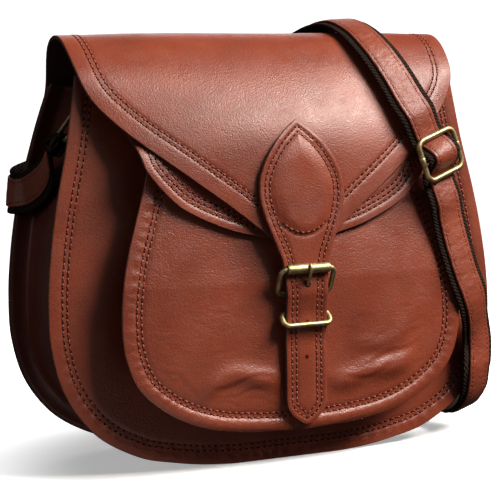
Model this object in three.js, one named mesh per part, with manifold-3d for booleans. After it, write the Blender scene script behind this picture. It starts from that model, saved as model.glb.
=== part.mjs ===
// Leather saddle bag with a front pocket, a buckled flap and a shoulder strap.
// Millimetres, +Z up. The wearer's side is +Y and the flap's buckle faces -Y.
import * as THREE from 'three';
import { mergeVertices } from 'three/addons/utils/BufferGeometryUtils.js';
import Module from 'manifold-3d';

const wasm = await Module();
wasm.setup();

// Driving dimensions of the body
const bodyWidth = 272;
const bodyDepth = 98.5;
const flapHeight = 246;
const wallHeight = 0.8943 * flapHeight;
const topLean = 38;
const leather = 2;
const gap = 0.3;
const backSeamGap = 1;
const seamFlange = 10;
const sideFold = 17;
const seamEase = 0.7;
const gussetLeather = 1.6;

// Driving dimensions of the front pocket and its flap
const pocketWidth = 205;
const pocketDepth = 23;
const pocketFoot = 0.089 * wallHeight;
const pocketMouth = 0.782 * wallHeight;
const pocketBulge = 4;
const pocketFlange = 6;

// Driving dimensions of the closure strap and its buckle
const leafWidth = 50.5;
const leafTop = 0.7793 * flapHeight;
const tailWidth = 24;
const tailLength = 56;
const closureLeather = 2.6;
const holeRadius = 1.6;
const buckleWidth = 34.6;
const buckleWire = 1.3;
const rollerRadius = 2.4;
const rollerLength = 25.6;
const rollerDrop = 6.1;
const buckleLength = 14;
const prongRadius = 1;
const keeperWidth = 30.6;
const keeperDrop = 10.8;
const keeperSlant = 6.2;
const chapeWidth = 18;
const chapeLength = 32;
const chapeLap = 8;
const chapeBulge = 7;
const chapeLeather = 1.8;
const holeSpacing = 19.5;
const hangingGap = 2.2;
const strapStep = 5;
const brassCorner = 3;

// Driving dimensions of the shoulder strap and its brass
const webbingWidth = 25;
const webbingThickness = 1.8;
const stripWidth = 17;
const stripThickness = 1.4;
const sliderWidth = 31.6;
const sliderHeight = 26.5;
const sliderWire = 1.4;
const sliderBar = 1.2;
const ringWidth = 34;
const ringLength = 21.6;
const ringWire = 1.5;
const tabWidth = 20;
const tabLeather = 1.6;
const tabLength = 13;
const foldBridge = 0.64;
const strapReturn = 9;

const halfBody = bodyWidth / 2;
const halfPocket = pocketWidth / 2;
const layer = leather + gap;
const barSides = 6;
const wallRows = 24;
const pocketRows = 20;

// Right-hand edge of the two walls: half as a share of half the body's width, up of the wall's height
const bodyEdge = [
  { half: 0.220, up: 0 },
  { half: 0.370, up: 0.007 },
  { half: 0.500, up: 0.020 },
  { half: 0.656, up: 0.045 },
  { half: 0.827, up: 0.109 },
  { half: 0.945, up: 0.208 },
  { half: 0.997, up: 0.326 },
  { half: 1.000, up: 0.448 },
  { half: 0.980, up: 0.567 },
  { half: 0.946, up: 0.686 },
  { half: 0.899, up: 0.812 },
  { half: 0.871, up: 0.906 },
  { half: 0.845, up: 1 },
];

// Right-hand edge of the pocket: up runs from the pocket's foot to its mouth
const pocketEdge = [
  { half: 0.100, up: 0 },
  { half: 0.220, up: 0.004 },
  { half: 0.345, up: 0.012 },
  { half: 0.480, up: 0.026 },
  { half: 0.634, up: 0.057 },
  { half: 0.796, up: 0.117 },
  { half: 0.927, up: 0.204 },
  { half: 0.990, up: 0.321 },
  { half: 0.999, up: 0.444 },
  { half: 0.981, up: 0.562 },
  { half: 0.944, up: 0.672 },
  { half: 0.894, up: 0.778 },
  { half: 0.842, up: 0.884 },
  { half: 0.790, up: 1 },
];

// Rows of the main flap from its point up the front, over the top and down the back.
// half: share of half the body's width. up: share of the flap's height.
// edge and mid: place from front to back at the side edge and in the middle,
// ahead as a share of the pocket's depth, deep as a share of the body's depth.
// lift: how far the middle stands above the edge, as a share of the flap's height.
const flapRows = [
  { half: 0.020, up: 0.472, edge: { ahead: 1.24 }, mid: { ahead: 1.24 }, lift: 0 },
  { half: 0.080, up: 0.496, edge: { ahead: 1.25 }, mid: { ahead: 1.25 }, lift: 0 },
  { half: 0.155, up: 0.528, edge: { ahead: 1.24 }, mid: { ahead: 1.25 }, lift: 0 },
  { half: 0.287, up: 0.589, edge: { ahead: 1.18 }, mid: { ahead: 1.22 }, lift: 0 },
  { half: 0.406, up: 0.638, edge: { ahead: 1.12 }, mid: { ahead: 1.20 }, lift: 0 },
  { half: 0.555, up: 0.703, edge: { ahead: 0.93 }, mid: { ahead: 1.18 }, lift: 0 },
  { half: 0.655, up: 0.748, edge: { ahead: 0.72 }, mid: { ahead: 1.11 }, lift: 0 },
  { half: 0.735, up: 0.793, edge: { ahead: 0.49 }, mid: { ahead: 0.96 }, lift: 0 },
  { half: 0.809, up: 0.841, edge: { ahead: 0.31 }, mid: { ahead: 0.73 }, lift: 0 },
  { half: 0.840, up: 0.888, edge: { ahead: 0.188 }, mid: { ahead: 0.45 }, lift: 0.004 },
  { half: 0.854, up: 0.934, edge: { deep: 0.030 }, mid: { ahead: 0.09 }, lift: 0.008 },
  { half: 0.862, up: 0.974, edge: { deep: 0.132 }, mid: { deep: 0.095 }, lift: 0.010 },
  { half: 0.865, up: 0.998, edge: { deep: 0.270 }, mid: { deep: 0.260 }, lift: 0.002 },
  { half: 0.865, up: 0.992, edge: { deep: 0.430 }, mid: { deep: 0.450 }, lift: 0.002 },
  { half: 0.862, up: 0.963, edge: { deep: 0.520 }, mid: { deep: 0.600 }, lift: 0.004 },
];

// Rows of the pocket flap from its point up to its seam on the front wall
const pocketFlapRows = [
  { half: 0.020, up: 0.555, ahead: 1.14 },
  { half: 0.195, up: 0.580, ahead: 1.15 },
  { half: 0.390, up: 0.605, ahead: 1.14 },
  { half: 0.546, up: 0.636, ahead: 1.11 },
  { half: 0.663, up: 0.668, ahead: 1.07 },
  { half: 0.760, up: 0.714, ahead: 1.02 },
  { half: 0.829, up: 0.759, ahead: 0.96 },
  { half: 0.853, up: 0.795, ahead: 0.88 },
  { half: 0.868, up: 0.822, ahead: 0.70 },
  { half: 0.868, up: 0.842, ahead: 0.34 },
  { half: 0.868, up: 0.872, ahead: 0.02 },
  { half: 0.868, up: 0.927, ahead: 0 },
];

// Rows of the leaf from the strap's neck to its point: shares of half its width and of its top's height
const leafRows = [
  { half: 0.618, up: 0.626 },
  { half: 0.776, up: 0.678 },
  { half: 0.915, up: 0.730 },
  { half: 0.994, up: 0.782 },
  { half: 0.966, up: 0.835 },
  { half: 0.808, up: 0.887 },
  { half: 0.535, up: 0.939 },
  { half: 0.250, up: 0.976 },
  { half: 0.020, up: 1.000 },
];

// Route of the shoulder strap from the right ring down, round the front, over the top and
// down the back to the left ring. side: share of half the body's width. up: of the flap's height.
// deep: of the body's depth behind the front wall. ahead: of the pocket's depth before it.
// face: the way the strap's leather faces.
const strapRoute = [
  { side: 0.880, deep: 0.425, up: 0.690, face: [1, 0, 0.2] },
  { side: 0.905, deep: 0.480, up: 0.600, face: [1, 0, 0] },
  { side: 0.935, deep: 0.540, up: 0.470, face: [1, 0.15, 0] },
  { side: 0.978, deep: 0.555, up: 0.358, face: [0.85, 0.5, 0] },
  { side: 0.985, deep: 0.565, up: 0.252, face: [0.5, 0.85, 0] },
  { side: 0.972, deep: 0.545, up: 0.150, face: [0.1, 1, 0] },
  { side: 0.955, deep: 0.425, up: 0.080, face: [0.24, 0.63, -0.74] },
  { side: 0.943, deep: 0.245, up: 0.058, face: [0.28, 0, -0.96] },
  { side: 0.922, deep: 0.045, up: 0.097, face: [0.34, -0.76, -0.55] },
  { side: 0.905, ahead: 0.25, up: 0.162, face: [0.34, -0.94, -0.1] },
  { side: 0.913, ahead: 0.26, up: 0.220, face: [0.3, -0.95, 0] },
  { side: 0.895, ahead: 0.39, up: 0.264, face: [0.26, -0.97, 0] },
  { side: 0.832, ahead: 0.94, up: 0.340, face: [0.25, -0.97, 0] },
  { side: 0.778, ahead: 1.04, up: 0.412, face: [0.24, -0.97, 0] },
  { side: 0.740, ahead: 1.05, up: 0.485, face: [0.2, -0.98, 0] },
  { side: 0.712, ahead: 1.09, up: 0.545, face: [0.22, -0.98, 0] },
  { side: 0.685, ahead: 1.25, up: 0.610, face: [0.26, -0.97, 0] },
  { side: 0.656, ahead: 1.40, up: 0.691, face: [0.24, -0.97, 0], slider: true },
  { side: 0.586, ahead: 1.32, up: 0.768, face: [0.08, -0.97, 0.15] },
  { side: 0.543, ahead: 1.12, up: 0.817, face: [0, -0.95, 0.25] },
  { side: 0.508, ahead: 0.88, up: 0.869, face: [-0.02, -0.9, 0.4] },
  { side: 0.478, ahead: 0.64, up: 0.912, face: [-0.04, -0.82, 0.55] },
  { side: 0.453, ahead: 0.32, up: 0.950, face: [-0.05, -0.7, 0.7] },
  { side: 0.432, deep: 0.066, up: 0.993, face: [-0.06, -0.45, 0.87] },
  { side: 0.422, deep: 0.270, up: 1.022, face: [-0.08, 0, 0.99] },
  { side: 0.400, deep: 0.470, up: 1.018, face: [-0.03, 0.35, 0.93] },
  { side: 0.330, deep: 0.650, up: 0.980, face: [0, 0.7, 0.7] },
  { side: 0.220, deep: 0.800, up: 0.915, face: [0, 0.88, 0.45] },
  { side: 0.060, deep: 0.925, up: 0.838, face: [0, 0.95, 0.3] },
  { side: -0.140, deep: 1.005, up: 0.778, face: [0, 0.98, 0.2] },
  { side: -0.370, deep: 1.045, up: 0.735, face: [0, 1, 0.1] },
  { side: -0.620, deep: 1.058, up: 0.704, face: [0, 1, 0.03] },
  { side: -0.795, deep: 1.072, up: 0.684, face: [0, 1, 0] },
  { side: -0.885, deep: 1.075, up: 0.670, face: [-0.15, 1, 0.05] },
  { side: -0.945, deep: 1.045, up: 0.658, face: [-0.8, 0.6, 0.1] },
  { side: -0.962, deep: 0.990, up: 0.649, face: [-0.98, 0, 0.16] },
  { side: -0.950, deep: 0.930, up: 0.645, face: [-0.74, -0.63, 0.18] },
  { side: -0.910, deep: 0.862, up: 0.650, face: [-0.5, -0.83, 0.2] },
  { side: -0.876, deep: 0.690, up: 0.673, face: [-0.82, -0.48, 0.16] },
  { side: -0.872, deep: 0.510, up: 0.704, face: [-0.97, -0.2, 0.2] },
];

// Lower bar of each ring, given as the strap's route is, and the way from it to the tab
const ringSpot = { side: 0.842, deep: 0.405, up: 0.762 };
const ringWay = { inward: 0.6, forward: 0.08, up: 0.79 };

// Brings a place from front to back, given by shares, to millimetres
function place({ deep = 0, ahead = 0 }) {
  return deep * bodyDepth - ahead * pocketDepth;
}

// Smooth curve through the rows of an edge table, from the foot up
function edgeCurve(rows, halfSpan, foot, height) {
  const points = rows.map((row) => new THREE.Vector2(row.half * halfSpan, foot + row.up * height));
  return new THREE.SplineCurve(points);
}

const bodyCurve = edgeCurve(bodyEdge, halfBody, 0, wallHeight);
const pocketCurve = edgeCurve(pocketEdge, halfPocket, pocketFoot, pocketMouth - pocketFoot);

// Half the width of an edge curve at a height
function halfAt(curve, height) {
  let low = 0;
  let high = 1;
  for (let step = 0; step < 24; step += 1) {
    const middle = (low + high) / 2;
    if (curve.getPoint(middle).y < height) {
      low = middle;
    } else {
      high = middle;
    }
  }
  return curve.getPoint(low).x;
}

// Outer face of the back wall: it leans forward near the top, more at its sides
function backFace(across, height) {
  const leanStart = 0.68 * wallHeight;
  const rise = Math.max(height - leanStart, 0) / (wallHeight - leanStart);
  return bodyDepth - topLean * (0.7 + 0.3 * across * across) * rise * rise;
}

// How much longer a step through the leaning back wall is from front to back than through the wall
function backSlant(across, height) {
  const rise = backFace(across, height + 1) - backFace(across, height);
  const turn = (backFace(1, height) - backFace(0, height)) / halfBody;
  return Math.hypot(1, rise, 2 * turn);
}

// Depth of the pocket, less near its mouth
function pocketReach(height) {
  const rise = THREE.MathUtils.clamp((height - pocketFoot) / (pocketMouth - pocketFoot), 0, 1.1);
  return pocketDepth * (1 - 0.24 * Math.max(rise - 0.55, 0) / 0.45);
}

// Outer face of the pocket's front, filled out in the middle
function pocketFace(across, height) {
  const rise = THREE.MathUtils.clamp((height - pocketFoot) / (pocketMouth - pocketFoot), 0, 1);
  const fill = Math.sin(Math.PI * Math.min(rise * 0.62 + 0.02, 1)) ** 0.7;
  return -pocketReach(height) - pocketBulge * fill * (1 - across * across);
}

// Makes a mesh from points and triangles and gives it a name and a material
function toMesh(name, positions, triangles, material) {
  const geometry = new THREE.BufferGeometry();
  geometry.setAttribute('position', new THREE.Float32BufferAttribute(positions, 3));
  geometry.setIndex(triangles);
  geometry.computeVertexNormals();
  const mesh = new THREE.Mesh(geometry, material);
  mesh.name = name;
  return mesh;
}

// Closed wall: a grid of points on its outer face, and the same grid set back by the wall
function wallSolid(columns, rows, pointAt, wall) {
  const grid = [];
  for (let row = 0; row <= rows; row += 1) {
    for (let column = 0; column <= columns; column += 1) {
      grid.push(pointAt(column / columns, row / rows));
    }
  }
  const at = (column, row) => row * (columns + 1) + column;
  const inner = grid.map((point, index) => {
    const column = index % (columns + 1);
    const row = Math.floor(index / (columns + 1));
    const right = grid[at(Math.min(column + 1, columns), row)];
    const left = grid[at(Math.max(column - 1, 0), row)];
    const above = grid[at(column, Math.min(row + 1, rows))];
    const below = grid[at(column, Math.max(row - 1, 0))];
    const across = right.clone().sub(left);
    const along = above.clone().sub(below);
    const outward = across.cross(along).normalize();
    return point.clone().addScaledVector(outward, -wall);
  });
  const offset = grid.length;
  const triangles = [];
  const quad = (a, b, c, d) => triangles.push(a, b, c, a, c, d);
  for (let row = 0; row < rows; row += 1) {
    for (let column = 0; column < columns; column += 1) {
      const corners = [at(column, row), at(column + 1, row), at(column + 1, row + 1), at(column, row + 1)];
      quad(...corners);
      quad(...corners.map((corner) => corner + offset).reverse());
    }
  }
  for (let column = 0; column < columns; column += 1) {
    quad(at(column + 1, 0), at(column, 0), at(column, 0) + offset, at(column + 1, 0) + offset);
    quad(at(column, rows), at(column + 1, rows), at(column + 1, rows) + offset, at(column, rows) + offset);
  }
  for (let row = 0; row < rows; row += 1) {
    quad(at(0, row), at(0, row + 1), at(0, row + 1) + offset, at(0, row) + offset);
    quad(at(columns, row + 1), at(columns, row), at(columns, row) + offset, at(columns, row + 1) + offset);
  }
  return { positions: grid.concat(inner).flatMap((point) => point.toArray()), triangles };
}

// Round bar swept along points: its ends are closed, or the points make a ring
function barSolid(points, radius, sides, ring) {
  const count = points.length;
  const tangents = points.map((point, index) => {
    const before = points[ring ? (index + count - 1) % count : Math.max(index - 1, 0)];
    const after = points[ring ? (index + 1) % count : Math.min(index + 1, count - 1)];
    return after.clone().sub(before).normalize();
  });
  let side = new THREE.Vector3(0.13, 0.31, 0.94).cross(tangents[0]).normalize();
  const positions = [];
  points.forEach((point, index) => {
    side = side.clone().addScaledVector(tangents[index], -side.dot(tangents[index])).normalize();
    const up = tangents[index].clone().cross(side);
    for (let turn = 0; turn < sides; turn += 1) {
      const angle = (2 * Math.PI * turn) / sides;
      const corner = point.clone().addScaledVector(side, radius * Math.cos(angle));
      corner.addScaledVector(up, radius * Math.sin(angle));
      positions.push(...corner.toArray());
    }
  });
  const triangles = [];
  const spans = ring ? count : count - 1;
  for (let span = 0; span < spans; span += 1) {
    const here = span * sides;
    const next = ((span + 1) % count) * sides;
    for (let turn = 0; turn < sides; turn += 1) {
      const following = (turn + 1) % sides;
      triangles.push(here + turn, here + following, next + following);
      triangles.push(here + turn, next + following, next + turn);
    }
  }
  if (!ring) {
    const last = (count - 1) * sides;
    for (let turn = 1; turn < sides - 1; turn += 1) {
      triangles.push(0, turn + 1, turn);
      triangles.push(last, last + turn, last + turn + 1);
    }
  }
  return { positions, triangles };
}

// Rounded rectangle of points in the plane of two directions
function roundedLoop(centre, across, along, halfAcross, halfAlong, corner) {
  const points = [];
  const turns = [[1, 1], [-1, 1], [-1, -1], [1, -1]];
  turns.forEach(([signAcross, signAlong], quarter) => {
    for (let step = 0; step <= 4; step += 1) {
      const angle = (quarter + step / 4) * (Math.PI / 2);
      const point = centre.clone();
      point.addScaledVector(across, signAcross * (halfAcross - corner) + corner * Math.cos(angle));
      point.addScaledVector(along, signAlong * (halfAlong - corner) + corner * Math.sin(angle));
      points.push(point);
    }
  });
  return points;
}

// Solid for cutting and joining, and back again
function toManifold({ positions, triangles }) {
  const loose = new THREE.BufferGeometry();
  loose.setAttribute('position', new THREE.Float32BufferAttribute(positions, 3));
  loose.setIndex(triangles);
  const merged = mergeVertices(loose, 1e-4);
  return new wasm.Manifold(new wasm.Mesh({
    numProp: 3,
    vertProperties: new Float32Array(merged.attributes.position.array),
    triVerts: new Uint32Array(merged.index.array),
  }));
}

function fromManifold(solid) {
  const mesh = solid.getMesh();
  return { positions: Array.from(mesh.vertProperties), triangles: Array.from(mesh.triVerts) };
}

function geometrySolid(geometry) {
  geometry.deleteAttribute('normal');
  geometry.deleteAttribute('uv');
  const merged = mergeVertices(geometry, 1e-4);
  const positions = Array.from(merged.attributes.position.array);
  return { positions, triangles: Array.from(merged.index.array) };
}

// A material of its own for every piece
function finish(color, roughness, metalness) {
  return new THREE.MeshStandardMaterial({ color, roughness, metalness });
}

const leatherMaterial = () => finish(0x8a4530, 0.45, 0);
const darkLeather = () => finish(0x3d1f1c, 0.5, 0);
const webbingMaterial = () => finish(0x2e221d, 0.9, 0);
const brassMaterial = () => finish(0x8c7a4d, 0.35, 1);

const bag = new THREE.Group();

function add(name, solid, material) {
  bag.add(toMesh(name, solid.positions, solid.triangles, material));
}

// Front wall
function frontPanel() {
  const pointAt = (across, along) => {
    const edge = bodyCurve.getPoint(along);
    return new THREE.Vector3((2 * across - 1) * edge.x, 0, edge.y);
  };
  return wallSolid(2, wallRows, pointAt, leather);
}

// Back wall
function backPanel() {
  const pointAt = (across, along) => {
    const edge = bodyCurve.getPoint(along);
    const share = 1 - 2 * across;
    return new THREE.Vector3(share * edge.x, backFace(share, edge.y), edge.y);
  };
  return wallSolid(6, wallRows, pointAt, leather);
}

// Stations along a whole edge, left top to right top, with the flat foot as one span
function wholeEdge(curve, along, inset) {
  const footShare = 0.08;
  const foot = curve.getPoint(0);
  const side = 1 - footShare;
  const signed = 2 * along - 1;
  if (Math.abs(signed) < footShare) {
    return new THREE.Vector2((signed / footShare) * foot.x, foot.y + inset);
  }
  const share = (Math.abs(signed) - footShare) / side;
  const point = curve.getPoint(share);
  const tangent = curve.getTangent(share);
  const slope = Math.atan2(tangent.y, tangent.x);
  const angle = share === 0 ? 0 : slope;
  point.x -= Math.sin(angle) * inset;
  point.y += Math.cos(angle) * inset;
  return new THREE.Vector2(Math.sign(signed) * point.x, point.y);
}

// How deep the sides fold inwards at a height
function foldAt(height) {
  const rise = Math.max(height / wallHeight - 0.55, 0) / 0.45;
  return sideFold * rise * rise;
}

// Sections of the gusset from the back seam to the front seam: inset from the walls' edge,
// depth between the seams, and how much of the inward fold each takes
const gussetSection = [
  { inset: 0.06, depth: 0, fold: 0 },
  { inset: 0.80, depth: 0, fold: 0 },
  { inset: 1.10, depth: 0.035, fold: 0 },
  { inset: 1.15, depth: 0.250, fold: 0.70 },
  { inset: 1.15, depth: 0.500, fold: 1 },
  { inset: 1.15, depth: 0.750, fold: 0.70 },
  { inset: 1.10, depth: 0.965, fold: 0 },
  { inset: 0.80, depth: 1, fold: 0 },
  { inset: 0.06, depth: 1, fold: 0 },
];

function gusset() {
  const front = leather + gap + gussetLeather;
  const pointAt = (along, across) => {
    const section = gussetSection[Math.round(across * (gussetSection.length - 1))];
    const edge = wholeEdge(bodyCurve, 1 - along, 0);
    const inset = section.inset * seamFlange + section.fold * foldAt(edge.y);
    const point = wholeEdge(bodyCurve, 1 - along, inset);
    const height = Math.min(point.y, wallHeight);
    const share = Math.min(Math.abs(point.x) / halfAt(bodyCurve, Math.max(height, 0.5)), 1);
    const back = backFace(share, height) - backSlant(share, height) * (leather + backSeamGap + gussetLeather);
    return new THREE.Vector3(point.x, front + section.depth * (back - front), height);
  };
  return wallSolid(36, gussetSection.length - 1, pointAt, gussetLeather);
}

add('front_panel', frontPanel(), leatherMaterial());
add('back_panel', backPanel(), leatherMaterial());
add('gusset', gusset(), darkLeather());

// Pocket front
function pocketFront() {
  const pointAt = (across, along) => {
    const edge = pocketCurve.getPoint(along);
    const share = 2 * across - 1;
    return new THREE.Vector3(share * edge.x, pocketFace(share, edge.y), edge.y);
  };
  return wallSolid(8, pocketRows, pointAt, leather);
}

// Sections of the pocket's gusset from its seam on the front wall to the pocket front:
// inset from the pocket's edge in flange widths, and depth as a share of the way forward
const pocketGussetSection = [
  { inset: 2.20, depth: 0 },
  { inset: 1.25, depth: 0 },
  { inset: 1.05, depth: 0.10 },
  { inset: 1.05, depth: 0.50 },
  { inset: 1.05, depth: 0.90 },
  { inset: 0.85, depth: 1 },
  { inset: 0.12, depth: 1 },
];

function pocketGusset() {
  const pointAt = (along, across) => {
    const section = pocketGussetSection[Math.round(across * (pocketGussetSection.length - 1))];
    const point = wholeEdge(pocketCurve, along, section.inset * pocketFlange);
    const height = Math.min(point.y, pocketMouth);
    const front = -pocketReach(height) + leather + gap + gussetLeather;
    return new THREE.Vector3(point.x, -gap + section.depth * (front + gap), height);
  };
  return wallSolid(32, pocketGussetSection.length - 1, pointAt, gussetLeather);
}

// Flap of the pocket: it follows the pocket's mouth and stays one layer in front of it
function pocketFlap() {
  const points = pocketFlapRows.map((row) => new THREE.Vector3(
    row.half * halfPocket,
    place(row) - layer,
    row.up * wallHeight,
  ));
  const rim = new THREE.CatmullRomCurve3(points, false, 'catmullrom', 0.4);
  const pointAt = (across, along) => {
    const row = rim.getPoint(along);
    const share = 2 * across - 1;
    return new THREE.Vector3(share * row.x, row.y, row.z);
  };
  return wallSolid(8, 2 * (pocketFlapRows.length - 1), pointAt, leather);
}

add('pocket_front', pocketFront(), leatherMaterial());
add('pocket_gusset', pocketGusset(), darkLeather());
add('pocket_flap', pocketFlap(), leatherMaterial());

// Lines of the main flap, from its point to its seam on the back wall: the side edge and the middle
function flapLines() {
  const edge = [];
  const middle = [];
  flapRows.forEach((row) => {
    const height = row.up * flapHeight;
    edge.push(new THREE.Vector3(row.half * halfBody, place(row.edge) - flapLayers(row.edge), height));
    middle.push(new THREE.Vector3(0, place(row.mid) - flapLayers(row.mid), height + row.lift * flapHeight));
  });
  [1, 0.955, 0.91].forEach((up) => {
    const height = up * wallHeight;
    const half = bodyEdge[bodyEdge.length - 1].half * halfBody;
    const share = half / halfAt(bodyCurve, height - 0.01);
    const edgePlace = backFace(share, height) + backSlant(share, height) * (layer + seamEase);
    const middlePlace = backFace(0, height) + backSlant(0, height) * (layer + seamEase);
    edge.push(new THREE.Vector3(half, edgePlace, height));
    middle.push(new THREE.Vector3(0, middlePlace, height));
  });
  return {
    edge: new THREE.CatmullRomCurve3(edge, false, 'catmullrom', 0.4),
    middle: new THREE.CatmullRomCurve3(middle, false, 'catmullrom', 0.4),
    rows: edge.length,
  };
}

// In front of the wall the main flap lies on the pocket's flap, two layers out
function flapLayers({ ahead = 0 }) {
  return Math.min(ahead, 1) * 2 * layer;
}

const flap = flapLines();

function mainFlap() {
  const pointAt = (across, along) => {
    const edge = flap.edge.getPoint(along);
    const middle = flap.middle.getPoint(along);
    const share = 2 * across - 1;
    const point = middle.clone().lerp(edge, share * share);
    point.x = share * edge.x;
    return point;
  };
  return wallSolid(8, 2 * (flap.rows - 1), pointAt, leather);
}

// Outer face of the main flap on its middle line, at a height on its front
function flapMiddle(height) {
  let low = 0;
  let high = 0.55;
  for (let step = 0; step < 24; step += 1) {
    const halfway = (low + high) / 2;
    if (flap.middle.getPoint(halfway).z < height) {
      low = halfway;
    } else {
      high = halfway;
    }
  }
  return flap.middle.getPoint(low).y;
}

add('main_flap', mainFlap(), leatherMaterial());

// Heights of the pieces on the pocket's middle line, from the flap's point down
const rollerHeight = flapRows[0].up * flapHeight - rollerDrop;
const heelHeight = rollerHeight - buckleLength;
const keeperBackHeight = heelHeight - keeperDrop;
const keeperHeight = keeperBackHeight - keeperSlant;
const chapeFoot = heelHeight - chapeLength;
const tailTip = keeperHeight - tailLength;

// Stack of pieces on the pocket's middle line, from the pocket's face outwards
const chapeFace = (height) => pocketFace(0, height) - gap - chapeLeather;
const heel = new THREE.Vector3(0, chapeFace(heelHeight) - gap - buckleWire, heelHeight);
const keeperBack = new THREE.Vector3(0, chapeFace(keeperBackHeight) - gap - buckleWire, keeperBackHeight);
const neckFace = flapMiddle(leafRows[0].up * leafTop) - gap - closureLeather;
const roller = new THREE.Vector3(0, neckFace - gap - rollerRadius, rollerHeight);
const heelFace = heel.y - buckleWire - gap - chapeLeather - gap - closureLeather;
const keeperFace = keeperBack.y - buckleWire - gap - closureLeather;

// Rows of the closure strap from the tail's tip up: half width, height and outer face
function closureRows() {
  const halfTail = tailWidth / 2;
  const tip = (share, rise) => ({
    half: share * halfTail,
    up: tailTip + rise * tailWidth,
    face: pocketFace(0, tailTip + rise * tailWidth) - hangingGap - closureLeather,
  });
  const rows = [tip(0.06, 0), tip(0.42, 0.10), tip(0.78, 0.26), tip(0.99, 0.48), tip(1, 0.90)];
  const chapeSeat = chapeFace(chapeFoot) - gap - closureLeather;
  rows.push({ half: halfTail, up: chapeFoot - 0.8 * strapStep, face: chapeSeat - 2 * gap });
  rows.push({ half: halfTail, up: chapeFoot + chapeBulge, face: chapeSeat - 3 * gap });
  rows.push({ half: halfTail, up: keeperHeight, face: keeperFace + gap });
  rows.push({ half: halfTail, up: keeperBackHeight, face: keeperFace });
  rows.push({ half: halfTail, up: heelHeight - strapStep, face: (keeperFace + heelFace) / 2 });
  rows.push({ half: halfTail, up: heelHeight, face: heelFace });
  rows.push({ half: 1.03 * halfTail, up: heelHeight + 1.2 * strapStep, face: heelFace });
  rows.push({ half: 1.10 * halfTail, up: rollerHeight, face: neckFace });
  rows.push({ half: 1.16 * halfTail, up: rollerHeight + strapStep, face: neckFace });
  leafRows.forEach((row) => {
    const height = row.up * leafTop;
    const face = flapMiddle(height) - gap - closureLeather;
    rows.push({ half: row.half * leafWidth / 2, up: height, face });
  });
  return rows;
}

// Brass prong: a hook round the heel bar, then a straight rod through the strap onto the roller
const prongReach = buckleWire + gap + prongRadius;
const prongLift = rollerRadius + 1.3 * gap + prongRadius;

function prongPoints() {
  const points = [];
  const steps = 9;
  const hookTurn = 1.2 * Math.PI;
  for (let step = 0; step <= steps; step += 1) {
    const angle = hookTurn * (step / steps - 1);
    const out = heel.y - prongReach * Math.cos(angle);
    points.push(new THREE.Vector3(0, out, heel.z + prongReach * Math.sin(angle)));
  }
  const last = points[points.length - 1];
  const rise = roller.z - last.z;
  const reach = roller.y - last.y;
  const lean = Math.atan2(rise, -reach);
  const onRoller = (turn) => new THREE.Vector3(
    0, roller.y - prongLift * Math.sin(lean + turn), roller.z - prongLift * Math.cos(lean + turn));
  points.push(last.clone().add(new THREE.Vector3(0, -gap, 0.8 * prongRadius)));
  points.push(last.clone().lerp(onRoller(0), 0.5));
  [0, 0.35, 0.7, 1.05].forEach((turn) => points.push(onRoller(turn)));
  return points;
}

function closureStrap() {
  const rows = closureRows();
  const line = new THREE.CatmullRomCurve3(
    rows.map((row) => new THREE.Vector3(row.half, row.face, row.up)), false, 'catmullrom', 0.4);
  const pointAt = (across, along) => {
    const row = line.getPoint(along);
    return new THREE.Vector3((2 * across - 1) * row.x, row.y, row.z);
  };
  let solid = toManifold(wallSolid(2, 2 * (rows.length - 1), pointAt, closureLeather));
  solid = solid.subtract(toManifold(barSolid(prongPoints(), prongRadius + gap, barSides, false)));
  const prongHole = heel.z + prongReach;
  [1, 2].forEach((index) => {
    const height = prongHole - index * holeSpacing + 1;
    const start = new THREE.Vector3(0, keeperBack.y + 6, height);
    const end = new THREE.Vector3(0, keeperFace - 6, height);
    solid = solid.subtract(toManifold(barSolid([start, end], holeRadius, 10, false)));
  });
  return fromManifold(solid);
}

// Way from the buckle's heel bar to its roller
const buckleWay = roller.clone().sub(heel).normalize();
const acrossWay = new THREE.Vector3(1, 0, 0);

function buckleFrame() {
  const centre = heel.clone().lerp(roller, 0.5);
  const halfLength = roller.distanceTo(heel) / 2;
  const halfAcross = buckleWidth / 2 - buckleWire;
  const loop = roundedLoop(centre, acrossWay, buckleWay, halfAcross, halfLength, brassCorner);
  return barSolid(loop, buckleWire, barSides, true);
}

function tubeSolid(centre, way, outer, inner, length) {
  const ends = (reach) => [-reach, reach].map((step) => centre.clone().addScaledVector(way, step));
  const outside = toManifold(barSolid(ends(length / 2), outer, 12, false));
  const bore = toManifold(barSolid(ends(length), inner, 12, false));
  return fromManifold(outside.subtract(bore));
}

function keeperLoop() {
  const front = new THREE.Vector3(0, keeperFace - 0.7 * gap - buckleWire, keeperHeight);
  const centre = front.clone().lerp(keeperBack, 0.5);
  const way = keeperBack.clone().sub(front).normalize();
  const halfLength = front.distanceTo(keeperBack) / 2;
  const halfAcross = keeperWidth / 2 - buckleWire;
  const loop = roundedLoop(centre, acrossWay, way, halfAcross, halfLength, 0.8 * brassCorner);
  return barSolid(loop, buckleWire, barSides, true);
}

// Band bent in the plane across the bag: points on its middle surface, one width
function bandSolid(points, halfAcross, wall) {
  const line = new THREE.CatmullRomCurve3(points, false, 'catmullrom', 0.5);
  const steps = 2 * (points.length - 1);
  const pointAt = (across, along) => {
    const point = line.getPoint(along);
    const tangent = line.getTangent(along);
    const outward = new THREE.Vector3(1, 0, 0).cross(tangent).normalize();
    point.addScaledVector(outward, wall / 2);
    point.x = (2 * across - 1) * halfAcross;
    return point;
  };
  return wallSolid(1, steps, pointAt, wall);
}

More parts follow.
